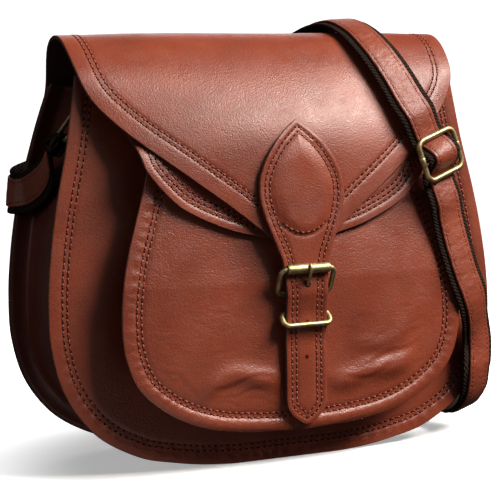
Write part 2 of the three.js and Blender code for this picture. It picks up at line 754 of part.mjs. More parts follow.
// Chape: up from its foot on the pocket, over the heel bar and back down onto itself
function buckleChape() {
  const turn = buckleWire + gap + chapeLeather / 2;
  const seat = (height) => pocketFace(0, height) - gap - chapeLeather / 2;
  const points = [chapeFoot, (chapeFoot + heelHeight) / 2, heelHeight - 0.75 * chapeLap].map(
    (height) => new THREE.Vector3(0, seat(height) - 0.15 * gap, height));
  for (let step = 0; step <= 6; step += 1) {
    const angle = Math.PI * (1 - step / 6);
    points.push(new THREE.Vector3(0, heel.y - turn * Math.cos(angle), heel.z + turn * Math.sin(angle)));
  }
  const lapped = seat(heelHeight) - chapeLeather - gap;
  points.push(new THREE.Vector3(0, heel.y - turn + 2 * gap, heel.z - 0.4 * chapeLap));
  points.push(new THREE.Vector3(0, lapped - 1.6 * gap, heel.z - 0.75 * chapeLap));
  points.push(new THREE.Vector3(0, lapped - 0.7 * gap, heel.z - chapeLap));
  const band = toManifold(bandSolid(points.reverse(), chapeWidth / 2, chapeLeather));
  const slotHeight = 2 * (buckleWire + chapeLeather + 1.4 * prongRadius);
  const slot = new THREE.BoxGeometry(2 * prongRadius + 4 * gap, 12 * prongRadius, slotHeight);
  slot.translate(0, heel.y - 1.5 * prongRadius, heel.z);
  return fromManifold(band.subtract(toManifold(geometrySolid(slot))));
}

add('closure_strap', closureStrap(), leatherMaterial());
add('buckle_frame', buckleFrame(), brassMaterial());
const rollerBore = buckleWire + gap;
add('buckle_roller', tubeSolid(roller, acrossWay, rollerRadius, rollerBore, rollerLength), brassMaterial());
add('buckle_prong', barSolid(prongPoints(), prongRadius, barSides, false), brassMaterial());
add('keeper_loop', keeperLoop(), brassMaterial());
add('buckle_chape', buckleChape(), leatherMaterial());

// Frame of a ring: its lower bar, the way to its upper bar, the way out of the bag and its bars' way
function ringFrame(hand) {
  const lower = new THREE.Vector3(hand * ringSpot.side * halfBody, place(ringSpot), ringSpot.up * flapHeight);
  const way = new THREE.Vector3(-hand * ringWay.inward, -ringWay.forward, ringWay.up).normalize();
  const bar = new THREE.Vector3(0, 1, 0).addScaledVector(way, -way.y).normalize();
  const outward = bar.clone().cross(way).multiplyScalar(hand).normalize();
  const upper = lower.clone().addScaledVector(way, ringLength - 2 * ringWire);
  return { lower, upper, way, bar, outward };
}

// End of the webbing: up to the ring's lower bar, over it and back down inside
function strapEnd(hand) {
  const { lower, way, bar, outward } = ringFrame(hand);
  const turn = ringWire + 2.2 * gap + webbingThickness / 2;
  const lead = lower.clone().addScaledVector(outward, turn).addScaledVector(way, -strapReturn / 2);
  const stations = [{ point: lead, face: outward, looped: false }];
  const steps = 6;
  for (let step = 0; step <= steps; step += 1) {
    const angle = (Math.PI * step) / steps;
    const face = outward.clone().multiplyScalar(Math.cos(angle)).addScaledVector(way, Math.sin(angle));
    stations.push({ point: lower.clone().addScaledVector(face, turn), face, looped: true, bar });
  }
  const face = outward.clone().negate();
  const returned = lower.clone().addScaledVector(face, turn * 0.8).addScaledVector(way, -strapReturn);
  stations.push({ point: returned, face, looped: true, bar });
  return stations;
}

// How far the webbing stands off its route beside the slider: under its two ends, over its bar
function sliderLift(distance) {
  const barPitch = sliderHeight / 2 - sliderWire;
  const reach = Math.abs(distance);
  const over = sliderBar + 2.5 * gap + webbingThickness / 2;
  const under = -(sliderWire + 2.5 * gap + stripThickness + webbingThickness / 2);
  if (reach < barPitch) {
    return (over + under) / 2 + ((over - under) / 2) * Math.cos((Math.PI * reach) / barPitch);
  }
  const away = Math.min((reach - barPitch) / (1.6 * barPitch), 1);
  return under * (0.5 + 0.5 * Math.cos(Math.PI * away));
}

// Stations along the shoulder strap: point, tangent, face and way across
function strapStations() {
  const route = strapRoute.map((row) => ({
    point: new THREE.Vector3(row.side * halfBody, place(row), row.up * flapHeight),
    face: new THREE.Vector3(...row.face).normalize(),
    slider: row.slider,
    looped: false,
  }));
  const ordered = [...strapEnd(1).reverse(), ...route, ...strapEnd(-1)];
  const line = new THREE.CatmullRomCurve3(ordered.map((row) => row.point), false, 'catmullrom', 0.5);
  const faces = new THREE.CatmullRomCurve3(ordered.map((row) => row.face), false, 'catmullrom', 0.5);
  const fine = 16;
  const spans = ordered.length - 1;
  const samples = [];
  let walked = 0;
  for (let step = 0; step <= spans * fine; step += 1) {
    const along = step / (spans * fine);
    const point = line.getPoint(along);
    walked += samples.length ? point.distanceTo(samples[samples.length - 1].point) : 0;
    const first = ordered[Math.floor(step / fine)];
    const second = ordered[Math.min(Math.floor(step / fine) + 1, spans)];
    const face = faces.getPoint(along).normalize();
    const looped = first.looped || second.looped;
    samples.push({ point, face, walked, looped, bar: first.bar && second.bar });
  }
  const sliderIndex = ordered.findIndex((row) => row.slider) * fine;
  const slider = { ...samples[sliderIndex], point: samples[sliderIndex].point.clone() };
  const lifts = samples.map((sample) => sliderLift(sample.walked - slider.walked));
  const directions = samples.map((sample, index) => {
    const before = samples[Math.max(index - 1, 0)].point;
    const after = samples[Math.min(index + 1, samples.length - 1)].point;
    return after.clone().sub(before).normalize();
  });
  slider.across = directions[sliderIndex].clone().cross(slider.face).normalize();
  slider.along = directions[sliderIndex].clone();
  slider.face = slider.across.clone().cross(slider.along).normalize();
  samples.forEach((sample, index) => {
    const across = directions[index].clone().cross(sample.face).normalize();
    if (sample.bar) {
      across.copy(sample.bar).multiplyScalar(Math.sign(across.dot(sample.bar)));
    }
    const face = across.clone().cross(directions[index]);
    sample.across = across;
    sample.point.addScaledVector(face, lifts[index]);
  });
  samples.forEach((sample, index) => {
    const before = samples[Math.max(index - 1, 0)].point;
    const after = samples[Math.min(index + 1, samples.length - 1)].point;
    sample.tangent = after.clone().sub(before).normalize();
    sample.face = sample.across.clone().cross(sample.tangent).normalize();
  });
  return { stations: thinStations(samples, slider.walked), slider };
}

const closeTurn = 0.12;
const openTurn = 0.26;
const longestSpan = 14;

// Keeps a station where the strap has turned enough or run far enough
function thinStations(samples, sliderPlace) {
  const kept = [samples[0]];
  samples.forEach((sample, index) => {
    const last = kept[kept.length - 1];
    const turned = Math.max(sample.tangent.angleTo(last.tangent), sample.face.angleTo(last.face));
    const near = Math.abs(sample.walked - last.walked);
    const close = sample.looped || Math.abs(sample.walked - sliderPlace) < sliderHeight / 2;
    if (turned > (close ? closeTurn : openTurn) || near > longestSpan || index === samples.length - 1) {
      kept.push(sample);
    }
  });
  return kept;
}

// Flat band through stations: its section is a ring of corners, each across the band and over its
// middle surface, and each face is split from this station's negative side to the next one's positive
function ribbonSolid(stations, section) {
  const count = section.length;
  const positions = [];
  stations.forEach(({ point, across, face }) => {
    section.forEach(([sideways, height]) => {
      const corner = point.clone().addScaledVector(across, sideways).addScaledVector(face, height);
      positions.push(...corner.toArray());
    });
  });
  const triangles = [];
  for (let span = 0; span < stations.length - 1; span += 1) {
    for (let side = 0; side < count; side += 1) {
      const next = (side + 1) % count;
      const [here, along] = [span * count + side, span * count + next];
      const [hereNext, alongNext] = [here + count, along + count];
      if (section[next][0] >= section[side][0]) {
        triangles.push(here, along, alongNext, here, alongNext, hereNext);
      } else {
        triangles.push(here, along, hereNext, along, alongNext, hereNext);
      }
    }
  }
  const last = (stations.length - 1) * count;
  for (let side = 1; side < count - 1; side += 1) {
    triangles.push(0, side + 1, side, last, last + side, last + side + 1);
  }
  return { positions, triangles };
}

// Section of a plain flat band
function flatSection(halfAcross, low, high) {
  return [[-halfAcross, high], [halfAcross, high], [halfAcross, low], [-halfAcross, low]];
}

const strap = strapStations();

function strapWebbing() {
  const [half, strip, thick] = [webbingWidth / 2, stripWidth / 2, webbingThickness / 2];
  const upper = [[-half, thick], [-strip, thick], [strip, thick], [half, thick]];
  const section = [...upper, [half, -thick], [-half, -thick]];
  return ribbonSolid(strap.stations, section);
}

function strapLeather() {
  const free = strap.stations.filter((station) => !station.looped);
  const low = webbingThickness / 2 + gap;
  return ribbonSolid(free.slice(1, -1), flatSection(stripWidth / 2, low, low + stripThickness));
}

function sliderFrame() {
  const { point, across, along } = strap.slider;
  const halfAcross = sliderWidth / 2 - sliderWire;
  const halfAlong = sliderHeight / 2 - sliderWire;
  const outline = roundedLoop(point, across, along, halfAcross, halfAlong, 1.2 * brassCorner);
  const loop = barSolid(outline, sliderWire, barSides, true);
  const ends = [-1, 1].map((sign) => point.clone().addScaledVector(across, sign * halfAcross));
  const bar = barSolid(ends, sliderBar, barSides, false);
  let solid = toManifold(loop).add(toManifold(bar));
  ends.forEach((end) => {
    const crimp = [-2.2, 2.2].map((reach) => end.clone().addScaledVector(along, reach));
    solid = solid.add(toManifold(barSolid(crimp, sliderWire + 0.4, barSides, false)));
  });
  return fromManifold(solid);
}

function ringSolid(hand) {
  const { lower, upper, way, bar } = ringFrame(hand);
  const centre = lower.clone().lerp(upper, 0.5);
  const halfAlong = ringLength / 2 - ringWire;
  const loop = roundedLoop(centre, bar, way, ringWidth / 2 - ringWire, halfAlong, brassCorner);
  return barSolid(loop, ringWire, barSides, true);
}

// Tab: down from the side's fold, under the ring's upper bar and back up on its outside
function ringTab(hand) {
  const { upper, way, bar, outward } = ringFrame(hand);
  const turn = ringWire + gap + tabLeather / 2;
  const wall = (height) => {
    const inset = 1.15 * seamFlange + foldBridge * foldAt(height);
    return (halfAt(bodyCurve, height) - inset) * hand;
  };
  const seat = (height, out) => new THREE.Vector3(
    wall(height) + hand * (3 * gap + out), upper.y, height);
  const top = Math.min(upper.z + tabLength, wallHeight - 2);
  const slope = 1.12;
  const inside = slope * (gap + tabLeather / 2);
  const outside = slope * (2.4 * gap + 1.5 * tabLeather);
  const points = [seat(top, inside), seat(top - 0.55 * tabLength, inside)];
  const steps = 6;
  for (let step = 0; step <= steps; step += 1) {
    const angle = Math.PI * (1 - step / steps);
    const ray = outward.clone().multiplyScalar(Math.cos(angle)).addScaledVector(way, -Math.sin(angle));
    points.push(upper.clone().addScaledVector(ray, turn));
  }
  points.push(seat(top - 0.35 * tabLength, outside), seat(top - 0.1 * tabLength, outside));
  const line = new THREE.CatmullRomCurve3(points, false, 'catmullrom', 0.4);
  const count = 2 * (points.length - 1);
  const stations = [];
  for (let step = 0; step <= count; step += 1) {
    const face = bar.clone().cross(line.getTangent(step / count)).normalize();
    stations.push({ point: line.getPoint(step / count), across: bar, face });
  }
  return ribbonSolid(stations, flatSection(tabWidth / 2, -tabLeather / 2, tabLeather / 2));
}

add('strap_webbing', strapWebbing(), webbingMaterial());
add('strap_leather', strapLeather(), leatherMaterial());
add('slider_frame', sliderFrame(), brassMaterial());
add('ring_right', ringSolid(1), brassMaterial());
add('ring_left', ringSolid(-1), brassMaterial());
add('ring_tab_right', ringTab(1), leatherMaterial());
add('ring_tab_left', ringTab(-1), leatherMaterial());

// The origin is on the floor under the middle of the whole bag
const box = new THREE.Box3().setFromObject(bag, true);
const middle = box.getCenter(new THREE.Vector3());
bag.position.set(-middle.x, -middle.y, -box.min.z);
bag.updateMatrixWorld(true);

export default bag;
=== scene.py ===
"""Leather saddle bag with a front pocket, a buckled flap and a shoulder strap.

Lengths are in millimetres in the bag's own frame: the outer face of the front wall is y = 0,
its middle is x = 0 and the floor is z = 0. They become metres where a mesh is made.
"""
import math

import bpy
import numpy as np
from mathutils import Matrix, Vector
from mathutils.bvhtree import BVHTree
from mathutils.kdtree import KDTree


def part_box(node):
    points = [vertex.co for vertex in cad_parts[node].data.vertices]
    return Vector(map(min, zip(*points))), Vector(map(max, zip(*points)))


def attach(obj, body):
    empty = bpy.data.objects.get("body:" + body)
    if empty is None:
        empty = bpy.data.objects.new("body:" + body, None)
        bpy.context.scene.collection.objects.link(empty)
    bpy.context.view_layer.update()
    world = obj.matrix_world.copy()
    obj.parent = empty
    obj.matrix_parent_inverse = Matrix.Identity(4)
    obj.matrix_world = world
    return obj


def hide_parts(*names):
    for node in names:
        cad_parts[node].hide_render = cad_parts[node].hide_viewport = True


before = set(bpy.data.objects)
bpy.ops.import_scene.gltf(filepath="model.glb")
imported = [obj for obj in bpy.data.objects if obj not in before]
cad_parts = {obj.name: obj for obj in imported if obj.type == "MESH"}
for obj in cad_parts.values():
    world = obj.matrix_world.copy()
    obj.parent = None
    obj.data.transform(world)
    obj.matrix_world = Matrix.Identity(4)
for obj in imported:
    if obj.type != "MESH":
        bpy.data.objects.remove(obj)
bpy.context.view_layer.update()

wall_low, wall_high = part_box("front_panel")
ORIGIN = np.array([(wall_low.x + wall_high.x) / 2, wall_low.y, 0.0]) * 1000

# Driving dimensions of the body
BODY_WIDTH = 272
BODY_DEPTH = 98.5
FLAP_HEIGHT = 246
WALL_HEIGHT = 0.8943 * FLAP_HEIGHT
TOP_LEAN = 38
LEATHER = 2
GAP = 0.3
BACK_SEAM_GAP = 1
SEAM_FLANGE = 10
SIDE_FOLD = 17
SEAM_EASE = 0.7
GUSSET_LEATHER = 1.6

# Driving dimensions of the front pocket and its flap
POCKET_WIDTH = 205
POCKET_DEPTH = 23
POCKET_FOOT = 0.089 * WALL_HEIGHT
POCKET_MOUTH = 0.782 * WALL_HEIGHT
POCKET_BULGE = 4
POCKET_FLANGE = 6

# Driving dimensions of the closure strap and its buckle
LEAF_WIDTH = 50.5
LEAF_TOP = 0.7793 * FLAP_HEIGHT
LEAF_FOOT = 128
LEAF_FOOT_HALF = 13.5
LEAF_FOOT_RISE = 6.5
TAIL_WIDTH = 24
TAIL_LENGTH = 56
CLOSURE_LEATHER = 2.6
HOLE_SHOWN = 1.15
PRONG_HOLE_SHOWN = 1.9
HOLE_DOME = 0.12
BUCKLE_WIDTH = 34.6
BUCKLE_WIRE = 1.3
ROLLER_RADIUS = 2.4
ROLLER_LENGTH = 25.6
ROLLER_DROP = 6.1
BUCKLE_LENGTH = 14
PRONG_RADIUS = 1
KEEPER_WIDTH = 30.6
KEEPER_DROP = 10.8
KEEPER_SLANT = 6.2
CHAPE_WIDTH = 18
CHAPE_LENGTH = 32
CHAPE_LEATHER = 1.8
CHAPE_LAP = 8
CHAPE_BULGE = 7
HOLE_SPACING = 19.5
HANGING_GAP = 2.2
STRAP_STEP = 5
BRASS_CORNER = 3.8
BRASS_SKIN = 0.18
ROLLER_SKIN = 0.35

# Driving dimensions of the shoulder strap and its brass
WEBBING_WIDTH = 25
WEBBING_THICKNESS = 1.8
STRIP_WIDTH = 17
STRIP_THICKNESS = 1.4
SLIDER_WIDTH = 31.6
SLIDER_HEIGHT = 26.5
SLIDER_WIRE = 1.4
SLIDER_BAR = 1.2
RING_WIDTH = 34
RING_LENGTH = 21.6
RING_WIRE = 1.5
TAB_WIDTH = 20
TAB_LEATHER = 1.6
TAB_LENGTH = 13
FOLD_BRIDGE = 0.64
STRAP_RETURN = 9
STRIP_ROW_INSET = 2.3
CRIMP_REACH = 2.2
CRIMP_SWELL = 0.4

HALF_BODY = BODY_WIDTH / 2
HALF_POCKET = POCKET_WIDTH / 2
LAYER = LEATHER + GAP

# Distances of the stitch rows from the edge of each piece
BODY_ROWS = (7.5, 10.2)
POCKET_ROWS = (8.0, 10.5)
FLAP_ROWS = (9.4, 12.1)
POCKET_FLAP_ROWS = (4.8, 7.4, 10.0)
CLOSURE_ROWS = (3.2, 5.9)
STITCH_PITCH = 3.7

# Stitch rows of the main flap on the back wall: shares of the wall's height, and half their length
FLAP_BACK_ROWS = (0.925, 0.937)
FLAP_BACK_REACH = 106

# How far off a surface the search for its nearest point starts, in general and at the leaf
SEEK_FROM = 4
LEAF_SEEK_FROM = 6

# Right-hand edge of the two walls: shares of half the body's width and of the wall's height
BODY_EDGE = (
    (0.220, 0), (0.370, 0.007), (0.500, 0.020), (0.656, 0.045), (0.827, 0.109), (0.945, 0.208),
    (0.997, 0.326), (1.000, 0.448), (0.980, 0.567), (0.946, 0.686), (0.899, 0.812),
    (0.871, 0.906), (0.845, 1),
)

# Right-hand edge of the pocket: shares of half its width and of the way from its foot to its mouth
POCKET_EDGE = (
    (0.100, 0), (0.220, 0.004), (0.345, 0.012), (0.480, 0.026), (0.634, 0.057), (0.796, 0.117),
    (0.927, 0.204), (0.990, 0.321), (0.999, 0.444), (0.981, 0.562), (0.944, 0.672),
    (0.894, 0.778), (0.842, 0.884), (0.790, 1),
)

# Rows of the main flap from its point up the front, over the top and down the back: half width,
# height, depth at the side edge and in the middle, and the middle's lift above the edge.
# A negative depth is a share of the pocket's depth before the wall, a positive one a share of
# the body's depth behind it.
FLAP_TABLE = (
    (0.020, 0.472, -1.24, -1.24, 0), (0.080, 0.496, -1.25, -1.25, 0),
    (0.155, 0.528, -1.24, -1.25, 0), (0.287, 0.589, -1.18, -1.22, 0),
    (0.406, 0.638, -1.12, -1.20, 0), (0.555, 0.703, -0.93, -1.18, 0),
    (0.655, 0.748, -0.72, -1.11, 0), (0.735, 0.793, -0.49, -0.96, 0),
    (0.809, 0.841, -0.31, -0.73, 0), (0.840, 0.888, -0.188, -0.45, 0.004),
    (0.854, 0.934, 0.030, -0.09, 0.008), (0.862, 0.974, 0.132, 0.095, 0.010),
    (0.865, 0.998, 0.270, 0.260, 0.002), (0.865, 0.992, 0.430, 0.450, 0.002),
    (0.862, 0.963, 0.520, 0.600, 0.004),
)

# Rows of the pocket flap from its point up: half width, height and depth as above
POCKET_FLAP_TABLE = (
    (0.020, 0.555, -1.14), (0.195, 0.580, -1.15), (0.390, 0.605, -1.14), (0.546, 0.636, -1.11),
    (0.663, 0.668, -1.07), (0.760, 0.714, -1.02), (0.829, 0.759, -0.96), (0.853, 0.795, -0.88),
    (0.868, 0.822, -0.70), (0.868, 0.842, -0.34), (0.868, 0.872, -0.02), (0.868, 0.927, 0),
)

# Rows of the leaf from the strap's neck to its point: shares of half its width and its top's height
LEAF_TABLE = (
    (0.618, 0.626), (0.776, 0.678), (0.915, 0.730), (0.994, 0.782), (0.966, 0.835),
    (0.808, 0.887), (0.535, 0.939), (0.250, 0.976), (0.020, 1.000),
)

# Route of the shoulder strap from the right ring down, round the front, over the top and down
# the back to the left ring: side, depth, height, and the way the strap's leather faces
STRAP_TABLE = (
    (0.880, 0.425, 0.690, (1, 0, 0.2)), (0.905, 0.48, 0.600, (1, 0, 0)),
    (0.935, 0.54, 0.470, (1, 0.15, 0)), (0.978, 0.555, 0.358, (0.85, 0.5, 0)),
    (0.985, 0.565, 0.252, (0.5, 0.85, 0)), (0.972, 0.545, 0.150, (0.1, 1, 0)),
    (0.955, 0.425, 0.080, (0.24, 0.63, -0.74)), (0.943, 0.245, 0.058, (0.28, 0, -0.96)),
    (0.922, 0.045, 0.097, (0.34, -0.76, -0.55)), (0.905, -0.25, 0.162, (0.34, -0.94, -0.1)),
    (0.913, -0.26, 0.220, (0.3, -0.95, 0)), (0.895, -0.39, 0.264, (0.26, -0.97, 0)),
    (0.832, -0.94, 0.340, (0.25, -0.97, 0)), (0.778, -1.04, 0.412, (0.24, -0.97, 0)),
    (0.740, -1.05, 0.485, (0.2, -0.98, 0)), (0.712, -1.09, 0.545, (0.22, -0.98, 0)),
    (0.685, -1.25, 0.610, (0.26, -0.97, 0)), (0.656, -1.4, 0.691, (0.24, -0.97, 0)),
    (0.586, -1.32, 0.768, (0.08, -0.97, 0.15)), (0.543, -1.12, 0.817, (0, -0.95, 0.25)),
    (0.508, -0.88, 0.869, (-0.02, -0.9, 0.4)), (0.478, -0.64, 0.912, (-0.04, -0.82, 0.55)),
    (0.453, -0.32, 0.950, (-0.05, -0.7, 0.7)), (0.432, 0.066, 0.993, (-0.06, -0.45, 0.87)),
    (0.422, 0.27, 1.022, (-0.08, 0, 0.99)), (0.400, 0.47, 1.018, (-0.03, 0.35, 0.93)),
    (0.330, 0.65, 0.980, (0, 0.7, 0.7)), (0.220, 0.8, 0.915, (0, 0.88, 0.45)),
    (0.060, 0.925, 0.838, (0, 0.95, 0.3)), (-0.140, 1.005, 0.778, (0, 0.98, 0.2)),
    (-0.370, 1.045, 0.735, (0, 1, 0.1)), (-0.620, 1.058, 0.704, (0, 1, 0.03)),
    (-0.795, 1.072, 0.684, (0, 1, 0)), (-0.885, 1.075, 0.670, (-0.15, 1, 0.05)),
    (-0.945, 1.045, 0.658, (-0.8, 0.6, 0.1)), (-0.962, 0.99, 0.649, (-0.98, 0, 0.16)),
    (-0.950, 0.93, 0.645, (-0.74, -0.63, 0.18)), (-0.910, 0.862, 0.650, (-0.5, -0.83, 0.2)),
    (-0.876, 0.69, 0.673, (-0.82, -0.48, 0.16)), (-0.872, 0.51, 0.704, (-0.97, -0.2, 0.2)),
)
SLIDER_ROW = 17

# Lower bar of each ring and the way from it to the tab
RING_SPOT = (0.842, 0.405, 0.762)
RING_WAY = (0.6, 0.08, 0.79)


def depth_at(share):
    """Millimetres behind the front wall of a depth given as a share."""
    share = np.asarray(share, float)
    return np.where(share < 0, share * POCKET_DEPTH, share * BODY_DEPTH)


def curve(points, shares, tension=0.5, held=False):
    """Places on a smooth curve through rows of points, by their share of the rows."""
    points = np.asarray(points, float)
    if held:
        ends = points[:1], points[-1:]
    else:
        ends = 2 * points[:1] - points[1:2], 2 * points[-1:] - points[-2:-1]
    padded = np.vstack([ends[0], points, ends[1]])
    place = np.clip(np.asarray(shares, float), 0, 1) * (len(points) - 1)
    index = np.minimum(place.astype(int), len(points) - 2)
    w = (place - index)[..., None]
    before, start, end, after = (padded[index + step] for step in range(4))
    leave, arrive = tension * (end - before), tension * (after - start)
    cubic = (2 * start - 2 * end + leave + arrive) * w**3
    return cubic + (-3 * start + 3 * end - 2 * leave - arrive) * w**2 + leave * w + start


def unit(vectors):
    """Vectors brought to length one."""
    vectors = np.asarray(vectors, float)
    return vectors / np.maximum(np.linalg.norm(vectors, axis=-1, keepdims=True), 1e-12)


def walked(points):
    """Length of the way along a line of points to each of them."""
    return np.concatenate([[0], np.cumsum(np.linalg.norm(np.diff(points, axis=0), axis=1))])


def even_shares(point_at, spacing, weight=(1, 1, 1)):
    """Shares of a curve that leave about the same spacing between neighbours."""
    fine = np.linspace(0, 1, 4001)
    points = point_at(fine)
    way = walked(points * np.asarray(weight)[: points.shape[1]])
    count = max(int(way[-1] / spacing), 4)
    return np.interp(np.linspace(0, way[-1], count + 1), way, fine)


def edge_shares(count, crowding=0.3):
    """Shares across a piece, from -1 to 1, that lie closer together at its two edges."""
    t = np.linspace(-1, 1, count + 1)
    return t * (1 + crowding) - crowding * t**3


BODY_POINTS = np.array(BODY_EDGE) * (HALF_BODY, WALL_HEIGHT)
POCKET_RISE = POCKET_MOUTH - POCKET_FOOT
POCKET_POINTS = np.array(POCKET_EDGE) * (HALF_POCKET, POCKET_RISE) + (0, POCKET_FOOT)


def half_at(points, height):
    """Half the width of an edge at a height."""
    fine = curve(points, np.linspace(0, 1, 3001), held=True)
    return np.interp(height, fine[:, 1], fine[:, 0])


def back_face(share, height):
    """Outer face of the back wall, which leans forward near the top."""
    start = 0.68 * WALL_HEIGHT
    rise = np.maximum(height - start, 0) / (WALL_HEIGHT - start)
    return BODY_DEPTH - TOP_LEAN * (0.7 + 0.3 * share * share) * rise * rise


def back_slant(share, height):
    """Step from front to back for each step through the leaning back wall."""
    rise = back_face(share, height + 1) - back_face(share, height)
    turn = (back_face(1, height) - back_face(0, height)) / HALF_BODY
    return np.sqrt(1 + rise**2 + (2 * turn) ** 2)


def pocket_reach(height):
    """Depth of the pocket, less near its mouth."""
    rise = np.clip((height - POCKET_FOOT) / POCKET_RISE, 0, 1.1)
    return POCKET_DEPTH * (1 - 0.24 * np.maximum(rise - 0.55, 0) / 0.45)


def pocket_face(share, height):
    """Outer face of the pocket's front, filled out in the middle."""
    rise = np.clip((height - POCKET_FOOT) / POCKET_RISE, 0, 1)
    fill = np.sin(math.pi * np.minimum(rise * 0.62 + 0.02, 1)) ** 0.7
    return -pocket_reach(height) - POCKET_BULGE * fill * (1 - share * share)


def fold_at(height):
    """How deep the sides fold inwards at a height."""
    rise = np.maximum(height / WALL_HEIGHT - 0.55, 0) / 0.45
    return SIDE_FOLD * rise * rise


def waves(places, length, seed, count=14):
    """Smooth seeded unevenness from about -1 to 1 that changes over about one length."""
    random = np.random.default_rng(seed)
    ways = unit(random.normal(size=(count, 3)))
    rates = 2 * math.pi / (length * random.uniform(0.7, 1.6, count))
    phases = random.uniform(0, 2 * math.pi, count)
    total = np.sin((places @ ways.T) * rates + phases).sum(-1)
    return total / math.sqrt(count)


# Materials

def new_material(name):
    """An empty node material, its nodes, links and shader."""
    material = bpy.data.materials.new(name)
    material.use_nodes = True
    tree = material.node_tree
    return material, tree.nodes, tree.links, tree.nodes["Principled BSDF"]


def noise_node(nodes, links, source, scale, detail=2.0, roughness=0.5):
    """Noise that reads a vector socket."""
    node = nodes.new("ShaderNodeTexNoise")
    node.inputs["Scale"].default_value = scale
    node.inputs["Detail"].default_value = detail
    node.inputs["Roughness"].default_value = roughness
    links.new(source, node.inputs["Vector"])
    return node


def ramp_node(nodes, links, source, stops):
    """Colour ramp with stops of place and colour."""
    node = nodes.new("ShaderNodeValToRGB")
    elements = node.color_ramp.elements
    while len(elements) < len(stops):
        elements.new(0.5)
    for element, (place, color) in zip(elements, stops):
        element.position = place
        element.color = (*color, 1)
    links.new(source, node.inputs["Fac"])
    return node


def math_node(nodes, links, operation, first, second):
    """Math node on sockets or plain numbers."""
    node = nodes.new("ShaderNodeMath")
    node.operation = operation
    for socket, value in zip(node.inputs, (first, second)):
        if isinstance(value, (int, float)):
            socket.default_value = value
        else:
            links.new(value, socket)
    return node.outputs["Value"]


def bump_node(nodes, links, height, strength, distance, before=None):
    """Bump from a height socket on top of an earlier bump."""
    node = nodes.new("ShaderNodeBump")
    node.inputs["Strength"].default_value = strength
    node.inputs["Distance"].default_value = distance
    links.new(height, node.inputs["Height"])
    if before is not None:
        links.new(before, node.inputs["Normal"])
    return node.outputs["Normal"]


def span_node(nodes, links, source, low, high, start=0.0, end=1.0):
    """Map range that brings values from start to end between low and high."""
    node = nodes.new("ShaderNodeMapRange")
    limits = {"From Min": start, "From Max": end, "To Min": low, "To Max": high}
    for name, value in limits.items():
        node.inputs[name].default_value = value
    links.new(source, node.inputs["Value"])
    return node


def warped(nodes, links, place, scale, detail, roughness, amount):
    """Socket of places that noise pushes about, so that a pattern looks less regular."""
    noise = noise_node(nodes, links, place, scale, detail, roughness)
    node = nodes.new("ShaderNodeMix")
    node.data_type = "VECTOR"
    node.inputs["Factor"].default_value = amount
    links.new(place, node.inputs["A"])
    links.new(noise.outputs["Color"], node.inputs["B"])
    return node.outputs["Result"]


def leather_material(
        name, deep, middle, light, grain=1.0, gloss=(0.35, 0.47), creases=0.16, shine=0.42):
    """Smooth leather: mottled dye, pebbled grain, fine creases and uneven gloss."""
    material, nodes, links, shader = new_material(name)
    place = nodes.new("ShaderNodeTexCoord").outputs["Object"]
    cloud = noise_node(nodes, links, place, 26, 4, 0.55)
    dye = ramp_node(nodes, links, cloud.outputs["Fac"], ((0.30, deep), (0.5, middle), (0.72, light)))
    speck = noise_node(nodes, links, place, 900, 2, 0.6)
    mix = nodes.new("ShaderNodeMix")
    mix.data_type = "RGBA"
    mix.blend_type = "MULTIPLY"
    mix.inputs["Factor"].default_value = 0.35
    tone = ramp_node(nodes, links, speck.outputs["Fac"], ((0.35, (0.62, 0.58, 0.56)), (0.6, (1, 1, 1))))
    links.new(dye.outputs["Color"], mix.inputs["A"])
    links.new(tone.outputs["Color"], mix.inputs["B"])
    links.new(mix.outputs["Result"], shader.inputs["Base Color"])
    patch = noise_node(nodes, links, place, 90, 3, 0.5)
    span = span_node(nodes, links, patch.outputs["Fac"], *gloss, 0.3, 0.7)
    links.new(span.outputs["Result"], shader.inputs["Roughness"])
    pebble = nodes.new("ShaderNodeTexVoronoi")
    pebble.feature = "SMOOTH_F1"
    pebble.inputs["Scale"].default_value = 1250
    pebble.inputs["Smoothness"].default_value = 0.35
    links.new(warped(nodes, links, place, 260, 2, 0.5, 0.0022), pebble.inputs["Vector"])
    pore = noise_node(nodes, links, place, 1900, 2, 0.6)
    vein = nodes.new("ShaderNodeTexVoronoi")
    vein.feature = "DISTANCE_TO_EDGE"
    vein.inputs["Scale"].default_value = 290
    links.new(warped(nodes, links, place, 60, 3, 0.6, 0.012), vein.inputs["Vector"])
    crack = ramp_node(nodes, links, vein.outputs["Distance"], ((0.0, (0, 0, 0)), (0.13, (1, 1, 1))))
    normal = bump_node(nodes, links, crack.outputs["Color"], creases, 0.00014)
    normal = bump_node(nodes, links, pebble.outputs["Distance"], 0.34 * grain, 0.00032, normal)
    normal = bump_node(nodes, links, pore.outputs["Fac"], 0.15 * grain, 0.0002, normal)
    links.new(normal, shader.inputs["Normal"])
    shader.inputs["Specular IOR Level"].default_value = shine
    return material


def plain_material(name, dark, light, scale, gloss, bump=0.4, depth=0.0002, metal=0.0, shine=0.5):
    """Material of two tones with uneven gloss and a fine surface."""
    material, nodes, links, shader = new_material(name)
    place = nodes.new("ShaderNodeTexCoord").outputs["Object"]
    cloud = noise_node(nodes, links, place, scale, 4, 0.6)
    tone = ramp_node(nodes, links, cloud.outputs["Fac"], ((0.35, dark), (0.65, light)))
    links.new(tone.outputs["Color"], shader.inputs["Base Color"])
    span = span_node(nodes, links, cloud.outputs["Fac"], *gloss)
    links.new(span.outputs["Result"], shader.inputs["Roughness"])
    fine = noise_node(nodes, links, place, scale * 8, 3, 0.6)
    links.new(bump_node(nodes, links, fine.outputs["Fac"], bump, depth), shader.inputs["Normal"])
    shader.inputs["Metallic"].default_value = metal
    shader.inputs["Specular IOR Level"].default_value = shine
    return material


